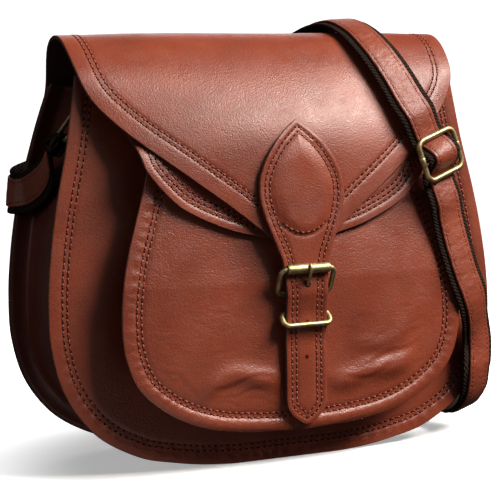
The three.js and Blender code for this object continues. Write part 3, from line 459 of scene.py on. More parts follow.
def webbing_material():
    """Dark cotton webbing: slanting ribs that meet along the middle of the band, coloured darker down
    between the ribs as painted shade and mottled by fuzz.
    """
    material, nodes, links, shader = new_material("webbing_weave")
    run = nodes.new("ShaderNodeAttribute")
    run.attribute_name = "run"
    split = nodes.new("ShaderNodeSeparateXYZ")
    links.new(run.outputs["Vector"], split.inputs["Vector"])
    slant = math_node(nodes, links, "MULTIPLY", split.outputs["Y"], 2.4)
    along = math_node(nodes, links, "MULTIPLY", split.outputs["X"], 2.9)
    phase = math_node(nodes, links, "ADD", along, slant)
    rib = math_node(nodes, links, "SINE", phase, 0)
    cross = math_node(nodes, links, "MULTIPLY", split.outputs["Y"], 5.6)
    thread = math_node(nodes, links, "SINE", cross, 0)
    height = math_node(nodes, links, "ADD", rib, math_node(nodes, links, "MULTIPLY", thread, 0.5))
    lift = math_node(nodes, links, "MULTIPLY_ADD", height, 0.3)
    lift.node.inputs[2].default_value = 0.5
    place = nodes.new("ShaderNodeTexCoord").outputs["Object"]
    fuzz = noise_node(nodes, links, place, 1500, 3, 0.7)
    # The colour follows the weave's height: painted shade darkens it down between the ribs, and the fuzz
    # noise mottles it.
    weave_shade_and_fuzz = math_node(nodes, links, "MULTIPLY", lift, fuzz.outputs["Fac"])
    stops = ((0.08, (0.004, 0.002, 0.001)), (0.30, (0.018, 0.009, 0.006)), (0.55, (0.070, 0.042, 0.028)))
    tone = ramp_node(nodes, links, weave_shade_and_fuzz, stops)
    links.new(tone.outputs["Color"], shader.inputs["Base Color"])
    normal = bump_node(nodes, links, lift, 0.9, 0.0005)
    normal = bump_node(nodes, links, fuzz.outputs["Fac"], 0.5, 0.0003, normal)
    links.new(normal, shader.inputs["Normal"])
    shader.inputs["Roughness"].default_value = 0.9
    shader.inputs["Specular IOR Level"].default_value = 0.1
    return material


def brass_material():
    """Antique brass: dark in its pores and rubbed bright on top."""
    material, nodes, links, shader = new_material("antique_brass")
    place = nodes.new("ShaderNodeTexCoord").outputs["Object"]
    cloud = noise_node(nodes, links, place, 320, 5, 0.62)
    stops = ((0.30, (0.22, 0.16, 0.075)), (0.5, (0.36, 0.28, 0.14)), (0.70, (0.50, 0.41, 0.23)))
    tone = ramp_node(nodes, links, cloud.outputs["Fac"], stops)
    links.new(tone.outputs["Color"], shader.inputs["Base Color"])
    span = span_node(nodes, links, cloud.outputs["Fac"], 0.52, 0.44)
    links.new(span.outputs["Result"], shader.inputs["Roughness"])
    scratch = noise_node(nodes, links, place, 2400, 3, 0.7)
    links.new(bump_node(nodes, links, scratch.outputs["Fac"], 0.2, 0.0001), shader.inputs["Normal"])
    shader.inputs["Metallic"].default_value = 1
    return material


CHESTNUT_TONES = (0.190, 0.032, 0.013), (0.245, 0.044, 0.018), (0.300, 0.060, 0.027)
CHESTNUT = leather_material("chestnut_leather", *CHESTNUT_TONES)
POCKET_LEATHER = leather_material(
    "pocket_leather", *CHESTNUT_TONES, gloss=(0.33, 0.45), creases=0.30, shine=0.5)
STRIP_LEATHER = leather_material(
    "strip_leather", (0.200, 0.035, 0.015), (0.255, 0.048, 0.020), (0.31, 0.066, 0.030),
    grain=0.7, gloss=(0.42, 0.54), creases=0.5)
# Darker copy of the chestnut leather for the side strips, which face away from the key light: painted
# shade.
SHADED_LEATHER = leather_material(
    "dark_leather", (0.085, 0.018, 0.010), (0.120, 0.027, 0.016), (0.160, 0.040, 0.026),
    grain=0.6, gloss=(0.32, 0.44), shine=0.28)
EDGE_PAINT = plain_material("edge_paint", (0.045, 0.016, 0.010), (0.10, 0.036, 0.022), 300, (0.4, 0.55))
LINING = plain_material("suede_lining", (0.07, 0.030, 0.018), (0.13, 0.055, 0.034), 500, (0.85, 0.95), 0.8)
THREAD = plain_material("thread", (0.20, 0.034, 0.015), (0.34, 0.070, 0.034), 1800, (0.5, 0.65), 0.6)
# Colour of the discs that stand for needle and punched holes: painted shade, the dark inside a hole.
HOLE_SHADE = plain_material(
    "needle_hole_shade", (0.030, 0.006, 0.004), (0.052, 0.012, 0.007), 900, (0.9, 1.0), shine=0.05)
BRASS = brass_material()
WEBBING = webbing_material()


# Meshes

def make_object(name, points, faces, materials, slots=None, nodes=()):
    """A smooth shaded piece from points in millimetres and faces of one size or several."""
    mesh = bpy.data.meshes.new(name)
    placed = (np.asarray(points, float) + ORIGIN) * 0.001
    groups = [np.asarray(group, np.int32) for group in faces if len(group)]
    sizes = np.concatenate([np.full(len(group), group.shape[1], np.int32) for group in groups])
    corners = np.concatenate([group.ravel() for group in groups])
    mesh.vertices.add(len(placed))
    mesh.vertices.foreach_set("co", placed.astype(np.float32).ravel())
    mesh.loops.add(len(corners))
    mesh.loops.foreach_set("vertex_index", corners)
    mesh.polygons.add(len(sizes))
    starts = np.concatenate([[0], np.cumsum(sizes)[:-1]]).astype(np.int32)
    mesh.polygons.foreach_set("loop_start", starts)
    mesh.polygons.foreach_set("loop_total", sizes)
    if slots is not None:
        mesh.polygons.foreach_set("material_index", np.asarray(slots, np.int32))
    mesh.polygons.foreach_set("use_smooth", np.ones(len(sizes), bool))
    for material in materials:
        mesh.materials.append(material)
    mesh.update(calc_edges=True)
    mesh.validate()
    piece = bpy.data.objects.new(name, mesh)
    bpy.context.scene.collection.objects.link(piece)
    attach(piece, "root")
    if nodes:
        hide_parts(*nodes)
    return piece


def grid_normals(grid):
    """Outward direction at each point of a grid."""
    across = np.empty_like(grid)
    along = np.empty_like(grid)
    across[:, 1:-1] = grid[:, 2:] - grid[:, :-2]
    across[:, 0] = grid[:, 1] - grid[:, 0]
    across[:, -1] = grid[:, -1] - grid[:, -2]
    along[1:-1] = grid[2:] - grid[:-2]
    along[0] = grid[1] - grid[0]
    along[-1] = grid[-1] - grid[-2]
    return unit(np.cross(across, along))


def grid_quads(rows, columns, offset=0, closed=False):
    """Quads of a grid of rows and columns of points, which may close on its first column."""
    ids = np.arange(rows * columns).reshape(rows, columns) + offset
    if closed:
        ids = np.hstack([ids, ids[:, :1]])
    return np.stack([ids[:-1, :-1], ids[:-1, 1:], ids[1:, 1:], ids[1:, :-1]], -1).reshape(-1, 4)


def border_ids(rows, columns):
    """Points round the border of a grid, against the clock as seen from outside."""
    ids = np.arange(rows * columns).reshape(rows, columns)
    return np.concatenate([ids[0, :-1], ids[:-1, -1], ids[-1, :0:-1], ids[:0:-1, 0]])


class Sheet:
    """A sheet of leather from a grid of points on its outer face."""

    def __init__(self, grid):
        self.grid = grid
        self.flat = grid
        self.rows, self.columns = grid.shape[:2]

    def edge(self, closed=False, spacing=1.0):
        """Line down the left side, along the foot and up the right side, or all round."""
        ids = np.arange(self.rows * self.columns).reshape(self.rows, self.columns)
        if closed:
            order = border_ids(self.rows, self.columns)
            order = np.append(order, order[0])
        else:
            order = np.concatenate([ids[::-1, 0], ids[0, 1:], ids[1:, -1]])
        points = self.flat.reshape(-1, 3)[order]
        normals = grid_normals(self.flat).reshape(-1, 3)[order]
        way = walked(points)
        steps = np.linspace(0, way[-1], int(way[-1] / spacing) + 1)
        even = [np.stack([np.interp(steps, way, values[:, axis]) for axis in range(3)], -1)
                for values in (points, normals)]
        return even[0], unit(even[1]), steps

    def distances(self, line, steps):
        """Distance of each point of the grid from a line, and the way along the line to it."""
        tree = KDTree(len(line))
        for index, point in enumerate(line):
            tree.insert(point, index)
        tree.balance()
        found = [tree.find(point)[1:] for point in self.grid.reshape(-1, 3)]
        index = np.array([item[0] for item in found])
        distance = np.array([item[1] for item in found])
        shape = (self.rows, self.columns)
        return distance.reshape(shape), steps[index].reshape(shape)

    def raise_by(self, height):
        """Moves the outer face out by a height at each point."""
        self.grid = self.grid + grid_normals(self.grid) * height[..., None]

    def tree(self):
        """Search tree of the outer face."""
        quads = grid_quads(self.rows, self.columns)
        return BVHTree.FromPolygons(self.grid.reshape(-1, 3).tolist(), quads.tolist())

    def build(self, name, wall, slot, nodes, materials, rim=0.35):
        """Closed piece with a rounded cut edge and a lining side."""
        normals = grid_normals(self.flat)
        outer = self.grid.reshape(-1, 3)
        inner = (self.flat - wall * normals).reshape(-1, 3)
        border = border_ids(self.rows, self.columns)
        edge, facing = outer[border], normals.reshape(-1, 3)[border]
        tangent = unit(np.roll(edge, -1, 0) - np.roll(edge, 1, 0))
        outward = unit(np.cross(tangent, facing))
        rings = [edge + rim * push * outward - wall * share * facing
                 for share, push in ((0.14, 0.7), (0.5, 1.0), (0.86, 0.7))]
        count, ring = len(outer), len(border)
        points = np.vstack([outer, inner, *rings])
        loops = [border, *(2 * count + ring * step + np.arange(ring) for step in range(3))]
        loops.append(border + count)
        front = grid_quads(self.rows, self.columns)
        back = (front + count)[:, ::-1]
        sides = np.vstack([
            np.stack([upper, lower, np.roll(lower, -1), np.roll(upper, -1)], -1)
            for upper, lower in zip(loops, loops[1:])])
        slots = np.repeat([0, 2, 1], [len(front), len(back), len(sides)])
        return make_object(name, points, [front, back, sides], materials, slots, nodes)


def seam_relief(distance, way, rows, roll=0.2, groove=0.4, fill=0.6, pucker=0.08, spread=9.0):
    """Relief beside a stitched edge: rolled border, sunk stitch rows, puckers and a fuller middle."""
    first, last = rows[0], rows[-1]
    inside = np.clip(distance / first, 0, 1)
    relief = roll * np.sin(math.pi * inside) ** 0.8
    for row in rows:
        relief = relief - groove * np.exp(-(((distance - row) / 1.0) ** 2))
    relief = relief + fill * (1 - np.exp(-np.maximum(distance - last, 0) / spread))
    middle = (first + last) / 2
    beat = np.sin(2 * math.pi * way / (2 * STITCH_PITCH) + 1.3 * np.sin(way / 11))
    return relief + pucker * beat * np.exp(-(((distance - middle) / 3.4) ** 2))


def uniform_filter(rows, reach=5):
    """Rows averaged with their neighbours on both sides."""
    padded = np.concatenate([np.repeat(rows[:1], reach, 0), rows, np.repeat(rows[-1:], reach, 0)])
    total = np.cumsum(np.concatenate([np.zeros_like(rows[:1]), padded]), 0)
    return (total[2 * reach + 1:] - total[: -2 * reach - 1]) / (2 * reach + 1)


def offset_lines(tree, line, normals, offset, closed=False):
    """Lines on a surface at a distance inside its edge, cut where they cross themselves."""
    if closed:
        tangent = unit(np.roll(line, -3, 0) - np.roll(line, 3, 0))
    else:
        tangent = np.empty_like(line)
        tangent[3:-3] = line[6:] - line[:-6]
        tangent[:3] = line[3] - line[0]
        tangent[-3:] = line[-1] - line[-4]
        tangent = unit(tangent)
    inward = unit(np.cross(normals, tangent))
    if closed:
        inward = unit(sum(np.roll(inward, step, 0) for step in range(-4, 5)))
    else:
        inward = unit(uniform_filter(inward))
    edges = KDTree(len(line))
    for index, point in enumerate(line):
        edges.insert(point, index)
    edges.balance()
    runs, run = [], []
    for point, way in zip(line, inward):
        target = Vector(point + way * offset)
        place, facing, _, _ = tree.find_nearest(target)
        if edges.find(target)[2] < offset * 0.96:
            runs.append(run)
            run = []
            continue
        run.append((tuple(place), tuple(facing)))
    runs.append(run)
    return [(np.array([item[0] for item in run]), np.array([item[1] for item in run]))
            for run in runs if len(run) > 6]


def stitch_parts(lines, pitch=STITCH_PITCH, length=0.6, radius=0.5, hole=0.7):
    """Points and faces of the stitches along lines, and of dark discs between them that stand for the
    needle holes as painted shade.
    """
    shape = ((-0.5, -0.35, 0.5), (-0.3, 0.22, 0.9), (0, 0.36, 1), (0.3, 0.22, 0.9), (0.5, -0.35, 0.5))
    sides = 6
    points, faces, slots = [], [], []
    count = 0
    for line, facing in lines:
        way = walked(line)
        number = int(way[-1] / pitch)
        if number < 1:
            continue
        pitch_here = way[-1] / number
        centres = (np.arange(number) + 0.5) * pitch_here

        def read(values, places):
            return np.stack([np.interp(places, way, values[:, axis]) for axis in range(3)], -1)

        rings = []
        for along, lift, wide in shape:
            places = centres + along * length * pitch_here
            middle, normal = read(line, places), unit(read(facing, places))
            ahead = unit(read(line, places + 0.5) - read(line, places - 0.5))
            side = np.cross(ahead, normal)
            turn = 2 * math.pi * np.arange(sides) / sides
            ring = (middle + normal * lift * radius * 1.6)[:, None]
            ring = ring + side[:, None] * (radius * wide * np.cos(turn))[None, :, None]
            rings.append(ring + normal[:, None] * (0.8 * radius * wide * np.sin(turn))[None, :, None])
        body = np.stack(rings, 1)
        block = len(shape) * sides
        base = np.arange(number) * block + count
        quads = grid_quads(len(shape), sides, closed=True)
        tops = np.arange(sides)[::-1]
        caps = np.stack([tops, tops[::-1] + (len(shape) - 1) * sides])
        faces.append((base[:, None, None] + quads[None]).reshape(-1, 4))
        faces.append((base[:, None, None] + caps[None]).reshape(-1, sides))
        slots += [0] * (number * (len(quads) + 2))
        points.append(body.reshape(-1, 3))
        count += number * block
        # Dark dome at each needle hole, painted shade of the hole.
        if hole:
            places = np.arange(number + 1) * pitch_here
            middle, normal = read(line, places), unit(read(facing, places))
            ahead = unit(read(line, np.minimum(places + 0.5, way[-1]))
                         - read(line, np.maximum(places - 0.5, 0)))
            side = np.cross(ahead, normal)
            turn = 2 * math.pi * np.arange(8) / 8
            ring = middle[:, None] + ahead[:, None] * (hole * np.cos(turn))[None, :, None]
            ring = ring + side[:, None] * (0.8 * hole * np.sin(turn))[None, :, None]
            ring = ring + normal[:, None] * 0.16
            tip = (middle + normal * 0.24)[:, None]
            root = (middle - normal * 0.3)[:, None]
            body = np.concatenate([ring, tip, root], 1)
            base = np.arange(number + 1) * 10 + count
            around = np.arange(8)
            after = (around + 1) % 8
            crown = np.stack([around, np.full(8, 8), after], -1)
            under = np.stack([after, np.full(8, 9), around], -1)
            triangles = np.vstack([crown, under])
            faces.append((base[:, None, None] + triangles[None]).reshape(-1, 3))
            slots += [1] * ((number + 1) * 16)
            points.append(body.reshape(-1, 3))
            count += (number + 1) * 10
    return np.vstack(points), faces, slots


def add_stitches(name, lines, slot, **sizes):
    """One piece with all the stitches along some lines, and the painted-shade discs of their needle holes.
    """
    points, faces, slots = stitch_parts(lines, **sizes)
    return make_object(name, points, faces, [THREAD, HOLE_SHADE], slots)


def sewn_edge(sheet, rows, closed=False, **sizes):
    """Distance from a sheet's edge, the way along that edge, and the relief beside its stitches."""
    line, _, steps = sheet.edge(closed)
    distance, way = sheet.distances(line, steps)
    return distance, way, seam_relief(distance, way, rows, **sizes)


def laid_on(tree, places):
    """Points of a surface nearest to some places, and the way that it faces there."""
    found = [tree.find_nearest(Vector(place)) for place in places]
    return tuple(np.array([tuple(item[part]) for item in found]) for part in (0, 1))


def sewn(sheet, name, rows, slot, facing=None, closed=False, **sizes):
    """Stitch rows inside the edge of a sheet, which may face one way all over."""
    tree = sheet.tree()
    line, normals, _ = sheet.edge(closed)
    if facing is not None:
        normals = np.broadcast_to(np.array(facing, float), normals.shape)
    lines = [found for row in rows for found in offset_lines(tree, line, normals, row, closed)]
    return add_stitches(name, lines, slot, **sizes)


LEATHER_SET = [CHESTNUT, EDGE_PAINT, LINING]
POCKET_SET = [POCKET_LEATHER, EDGE_PAINT, LINING]
# Set for the side strips: painted-shade leather outside and inside.
SHADED_SET = [SHADED_LEATHER, EDGE_PAINT, SHADED_LEATHER]


# Front and back walls

def wall_sheet(back):
    """Front or back wall with its stitched border."""
    across = edge_shares(130)
    along = even_shares(lambda t: curve(BODY_POINTS, t, held=True), 1.3, (0.25, 1))
    edge = curve(BODY_POINTS, along, held=True)
    x = across[None] * edge[:, :1]
    z = np.repeat(edge[:, 1:], len(across), 1)
    if back:
        grid = np.stack([-x, back_face(across[None], z), z], -1)
    else:
        grid = np.stack([x, np.zeros_like(x), z], -1)
    return Sheet(grid)


front = wall_sheet(False)
distance, way, relief = sewn_edge(front, BODY_ROWS, fill=0.25)
relief += 0.25 * waves(front.grid, 70, 3) * np.clip(distance / 30, 0, 1)
low = np.clip(1 - front.grid[..., 2] / 90, 0, 1) * np.clip(distance / 3, 0, 1)
puckers = np.sin(way / 1.15 + 1.5 * np.sin(way / 7))
relief += 0.38 * puckers * low * np.exp(-((distance - 6) / 3.5) ** 2)
front.raise_by(relief)
front.build("front_wall", LEATHER, "leather", ["front_panel"], LEATHER_SET)
sewn(front, "front_wall_stitches", BODY_ROWS, "leather", (0, -1, 0))

rear = wall_sheet(True)
distance, way, relief = sewn_edge(rear, BODY_ROWS, fill=0.5)
relief += 0.5 * waves(rear.grid, 80, 5) * np.clip(distance / 30, 0, 1)
rear.raise_by(relief)
rear.build("back_wall", LEATHER, "leather", ["back_panel"], LEATHER_SET)
sewn(rear, "back_wall_stitches", BODY_ROWS, "leather", (0, 1, 0))


def whole_edge(points, along, inset):
    """Stations along a whole edge, left top to right top, moved in by an inset."""
    foot_share = 0.08
    signed = 2 * along - 1
    size = np.abs(signed)
    share = np.clip((size - foot_share) / (1 - foot_share), 0, 1)
    edge = curve(points, share, held=True)
    ahead = curve(points, np.minimum(share + 1e-4, 1), held=True)
    behind = curve(points, np.maximum(share - 1e-4, 0), held=True)
    slope = np.arctan2(ahead[..., 1] - behind[..., 1], ahead[..., 0] - behind[..., 0])
    slope = np.where(share <= 0, 0, slope)
    x = edge[..., 0] - np.sin(slope) * inset
    z = edge[..., 1] + np.cos(slope) * inset
    flat = size < foot_share
    x = np.where(flat, signed / foot_share * points[0][0], np.sign(signed) * x)
    z = np.where(flat, points[0][1] + inset, z)
    return x, z


# Section of the side strip from front to back: inset as a share of the flange, depth as a share
# of the way to the back wall, and the share of the sides' fold that it takes
GUSSET_SECTION = (
    (0.06, 0, 0), (0.80, 0, 0), (1.10, 0.035, 0), (1.15, 0.250, 0.70), (1.15, 0.500, 1),
    (1.15, 0.750, 0.70), (1.10, 0.965, 0), (0.80, 1, 0), (0.06, 1, 0),
)

# Section of the pocket's strip from the bag's wall out: inset as a share of the pocket's flange
# and depth as a share of the way to the pocket's front
POCKET_SECTION = (
    (2.20, 0), (1.25, 0), (1.05, 0.10), (1.05, 0.50), (1.05, 0.90), (0.85, 1), (0.12, 1),
)

# Weight of each column, in millimetres, where points are spaced evenly along the sections
GUSSET_SPANS = (10, 85, 4)
POCKET_SPANS = (6, 20)


def gusset_sheet():
    """Side and foot strip between the two walls, folded inwards near its top."""
    front_seam = LEATHER + GAP + GUSSET_LEATHER
    section = np.array(GUSSET_SECTION)
    across = even_shares(lambda t: curve(section * GUSSET_SPANS, t), 1.7)
    profile = curve(section, across)

    def edge_points(t):
        x, z = whole_edge(BODY_POINTS, t, 0)
        return np.stack([x, z], -1)

    along = 1 - even_shares(edge_points, 1.9)[None]
    _, height = whole_edge(BODY_POINTS, along, 0)
    inset = profile[:, :1] * SEAM_FLANGE + profile[:, 2:] * fold_at(height)
    x, z = whole_edge(BODY_POINTS, np.broadcast_to(along, inset.shape), inset)
    z = np.minimum(z, WALL_HEIGHT)
    share = np.minimum(np.abs(x) / half_at(BODY_POINTS, np.maximum(z, 0.5)), 1)
    step = LEATHER + BACK_SEAM_GAP + GUSSET_LEATHER
    back = back_face(share, z) - back_slant(share, z) * step
    y = front_seam + profile[:, 1:2] * (back - front_seam)
    return Sheet(np.stack([x, y, z], -1))


GUSSET_START = 4
GUSSET_SPAN = 88

side = gusset_sheet()
middle_share = np.sin(math.pi * np.clip((side.grid[..., 1] - GUSSET_START) / GUSSET_SPAN, 0, 1))
dents = 0.55 * waves(side.grid, 46, 7) * middle_share
side.raise_by(dents + 0.25 * waves(side.grid, 17, 8) * middle_share)
# The side strip is coloured with the painted-shade leather.
side.build("side_gusset", GUSSET_LEATHER, "dark_leather", ["gusset"], SHADED_SET, rim=0.2)


# Front pocket

def pocket_sheet():
    """Front of the pocket."""
    across = edge_shares(116)
    along = even_shares(lambda t: curve(POCKET_POINTS, t, held=True), 1.15, (0.25, 1))
    edge = curve(POCKET_POINTS, along, held=True)
    x = across[None] * edge[:, :1]
    z = np.repeat(edge[:, 1:], len(across), 1)
    return Sheet(np.stack([x, pocket_face(across[None], z), z], -1))


def creases(grid, strokes, seed, valley=1.0):
    """Relief of soft creases along strokes, each given by two ends, a bow, a depth and a width."""
    random = np.random.default_rng(seed)
    x, z = grid[..., 0], grid[..., 2]
    relief = np.zeros_like(x)
    for start, end, bow, depth, width in strokes:
        start, end = np.array(start, float), np.array(end, float)
        length = np.linalg.norm(end - start)
        ahead = (end - start) / length
        along = ((x - start[0]) * ahead[0] + (z - start[1]) * ahead[1]) / length
        aside = -(x - start[0]) * ahead[1] + (z - start[1]) * ahead[0]
        sway = bow * 4 * along * (1 - along)
        sway = sway + 0.12 * length * 0.3 * np.sin(9 * along + random.uniform(0, 6))
        fade = np.clip(np.minimum(along, 1 - along) * 4, 0, 1)
        fade = fade * fade * (3 - 2 * fade)
        off = (aside - sway) / width
        relief = relief + depth * fade * (0.9 * np.exp(-((off - 1.3) ** 2)) - valley * np.exp(-(off**2)))
    return relief


pocket = pocket_sheet()
distance, way, relief = sewn_edge(
    pocket, POCKET_ROWS, roll=0.3, groove=0.45, fill=1.0, spread=12)
foot = np.clip(1 - (pocket.grid[..., 2] - POCKET_FOOT) / 45, 0, 1)
relief += 0.9 * foot * np.sin(math.pi * np.clip(distance / POCKET_ROWS[0], 0, 1))
relief += 0.5 * waves(pocket.grid, 60, 11) * np.clip((distance - 10) / 25, 0, 1)

# Soft ridges and sharper creases near the pocket's foot: two ends, bow, depth and width
ridges = [
    ((-66, 38), (-8, 42), 5, 2.3, 5.6), ((12, 40), (76, 54), -7, 2.7, 6.0),
    ((30, 54), (90, 84), -6, 0.8, 5.0),
]
strokes = [
    ((-58, 45), (-10, 50), 3, 0.35, 1.5), ((-50, 39), (-22, 44), 2, 0.25, 1.3),
    ((22, 46), (60, 53), -3, 0.35, 1.6), ((30, 54), (80, 70), -5, 0.28, 1.5),
    ((-86, 60), (-66, 48), 3, 0.22, 1.3),
]
FINE_CREASES = 46
random = np.random.default_rng(21)
for _ in range(FINE_CREASES):
    side_sign = random.choice([-1, 1])
    centre = np.array([side_sign * random.uniform(12, 88), random.uniform(36, 92)])
    angle = math.radians(random.normal(14 * side_sign, 26))
    reach = random.uniform(4, 13) * np.array([math.cos(angle), math.sin(angle)])
    strokes.append((centre - reach, centre + reach, random.uniform(-1.5, 1.5),
                    random.uniform(0.06, 0.18), random.uniform(0.7, 1.2)))
inside = np.clip((distance - 9) / 5, 0, 1)
relief += creases(pocket.grid, strokes, 22) * inside
relief += creases(pocket.grid, ridges, 23, 0.1) * inside
relief += 0.16 * np.sin(way / 1.05 + 1.4 * np.sin(way / 6)) * np.exp(-((distance - 5.4) / 2.6) ** 2)
pocket.raise_by(relief)
pocket.build("pocket_wall", LEATHER, "leather", ["pocket_front"], POCKET_SET)
sewn(pocket, "pocket_stitches", POCKET_ROWS, "leather", (0, -1, 0))


def pocket_gusset_sheet():
    """Strip that carries the pocket's front on the bag's wall."""
    section = np.array(POCKET_SECTION)
    across = even_shares(lambda t: curve(section * POCKET_SPANS, t), 1.6)
    profile = curve(section, across, tension=0.35)

    def edge_points(t):
        x, z = whole_edge(POCKET_POINTS, t, 0)
        return np.stack([x, z], -1)

    along = even_shares(edge_points, 1.8)[None]
    inset = profile[:, :1] * POCKET_FLANGE
    inset = np.broadcast_to(inset, (len(profile), along.shape[1]))
    x, z = whole_edge(POCKET_POINTS, np.broadcast_to(along, inset.shape), inset)
    z = np.minimum(z, POCKET_MOUTH)
    seam = -pocket_reach(z) + LEATHER + GAP + GUSSET_LEATHER
    y = -GAP + profile[:, 1:] * (seam + GAP)
    return Sheet(np.stack([x, y, z], -1))


strip = pocket_gusset_sheet()
strip.raise_by(0.3 * waves(strip.grid, 22, 13))
# The pocket's side strip is coloured with the painted-shade leather.
strip.build("pocket_side_strip", GUSSET_LEATHER, "dark_leather", ["pocket_gusset"], SHADED_SET, rim=0.2)


def pocket_flap_sheet():
    """Flap of the pocket, sewn to the wall above it."""
    table = np.array(POCKET_FLAP_TABLE)
    depth = depth_at(table[:, 2]) - LAYER
    rows = np.stack([table[:, 0] * HALF_POCKET, depth, table[:, 1] * WALL_HEIGHT], -1)
    along = even_shares(lambda t: curve(rows, t, 0.4), 1.2, (0.25, 1, 1))
    line = curve(rows, along, 0.4)
    across = edge_shares(120)
    x = across[None] * line[:, :1]
    y = np.repeat(line[:, 1:2], len(across), 1)
    z = np.repeat(line[:, 2:], len(across), 1)
    return Sheet(np.stack([x, y, z], -1))


lid = pocket_flap_sheet()
_, _, relief = sewn_edge(lid, POCKET_FLAP_ROWS, roll=0.15, groove=0.35, fill=0.05)
lid.raise_by(relief)
lid.build("pocket_lid", LEATHER, "leather", ["pocket_flap"], LEATHER_SET)
sewn(lid, "pocket_lid_stitches", POCKET_FLAP_ROWS, "leather")


# Main flap

def flap_lines():
    """Side edge and middle line of the main flap, from its point to its seam on the back."""
    table = np.array(FLAP_TABLE)
    height = table[:, 1] * FLAP_HEIGHT
    layers = np.minimum(np.maximum(-table[:, 2:4], 0), 1) * 2 * LAYER
    depth = depth_at(table[:, 2:4]) - layers
    edge = np.stack([table[:, 0] * HALF_BODY, depth[:, 0], height], -1)
    middle = np.stack([0 * height, depth[:, 1], height + table[:, 4] * FLAP_HEIGHT], -1)
    seam = np.array([1, 0.955, 0.91]) * WALL_HEIGHT
    half = BODY_EDGE[-1][0] * HALF_BODY
    share = half / half_at(BODY_POINTS, seam - 0.01)
    step = LAYER + SEAM_EASE
    side_depth = back_face(share, seam) + back_slant(share, seam) * step
    middle_depth = back_face(0, seam) + back_slant(0, seam) * step
    edge = np.vstack([edge, np.stack([0 * seam + half, side_depth, seam], -1)])
    middle = np.vstack([middle, np.stack([0 * seam, middle_depth, seam], -1)])
    return edge, middle


FLAP_EDGE, FLAP_MIDDLE = flap_lines()


def flap_sheet():
    """Main flap over the front, the top and the upper back."""
    along = even_shares(lambda t: curve(FLAP_EDGE, t, 0.4), 1.3, (0.3, 1, 1))
    edge, middle = curve(FLAP_EDGE, along, 0.4), curve(FLAP_MIDDLE, along, 0.4)
    edge, middle = uniform_filter(edge, 6), uniform_filter(middle, 6)
    across = edge_shares(150)
    bow = (across**2)[None, :, None]
    grid = middle[:, None] * (1 - bow) + edge[:, None] * bow
    grid[..., 0] = across[None] * edge[:, :1]
    return Sheet(grid)


def flap_middle(height):
    """Outer face of the main flap on its middle line, at heights on its front."""
    fine = curve(FLAP_MIDDLE, np.linspace(0, 0.55, 3001), 0.4)
    return np.interp(height, fine[:, 2], fine[:, 1])


flap = flap_sheet()
distance, _, relief = sewn_edge(flap, FLAP_ROWS, roll=0.12, groove=0.32, fill=0.25, spread=14)
relief += 0.45 * waves(flap.grid, 95, 17) * np.clip((distance - 8) / 30, 0, 1)
flap.raise_by(relief)
flap.build("top_flap", LEATHER, "leather", ["main_flap"], LEATHER_SET)
sewn(flap, "top_flap_stitches", FLAP_ROWS, "leather")
back_rows = []
flap_tree = flap.tree()
for share in FLAP_BACK_ROWS:
    height = share * WALL_HEIGHT
    behind = back_face(0, height) + SEEK_FROM
    row = np.linspace(FLAP_BACK_REACH, -FLAP_BACK_REACH, 160)
    back_rows.append(laid_on(flap_tree, [(x, behind, height) for x in row]))
add_stitches("top_flap_back_stitches", back_rows, "leather")


# Closure strap, its brass and its chape

ROLLER_HEIGHT = FLAP_TABLE[0][1] * FLAP_HEIGHT - ROLLER_DROP
HEEL_HEIGHT = ROLLER_HEIGHT - BUCKLE_LENGTH
KEEPER_BACK_HEIGHT = HEEL_HEIGHT - KEEPER_DROP
KEEPER_HEIGHT = KEEPER_BACK_HEIGHT - KEEPER_SLANT
CHAPE_FOOT = HEEL_HEIGHT - CHAPE_LENGTH
TAIL_TIP = KEEPER_HEIGHT - TAIL_LENGTH


def chape_face(height):
    """Outer face of the chape's lower layer."""
    return pocket_face(0, height) - GAP - CHAPE_LEATHER


HEEL = np.array([0, chape_face(HEEL_HEIGHT) - GAP - BUCKLE_WIRE, HEEL_HEIGHT])
KEEPER_BACK = np.array([
    0, chape_face(KEEPER_BACK_HEIGHT) - GAP - BUCKLE_WIRE, KEEPER_BACK_HEIGHT])
NECK_FACE = float(flap_middle(LEAF_TABLE[0][1] * LEAF_TOP)) - GAP - CLOSURE_LEATHER
ROLLER = np.array([0, NECK_FACE - GAP - ROLLER_RADIUS, ROLLER_HEIGHT])
HEEL_FACE = HEEL[1] - BUCKLE_WIRE - GAP - CHAPE_LEATHER - GAP - CLOSURE_LEATHER
KEEPER_FACE = KEEPER_BACK[1] - BUCKLE_WIRE - GAP - CLOSURE_LEATHER


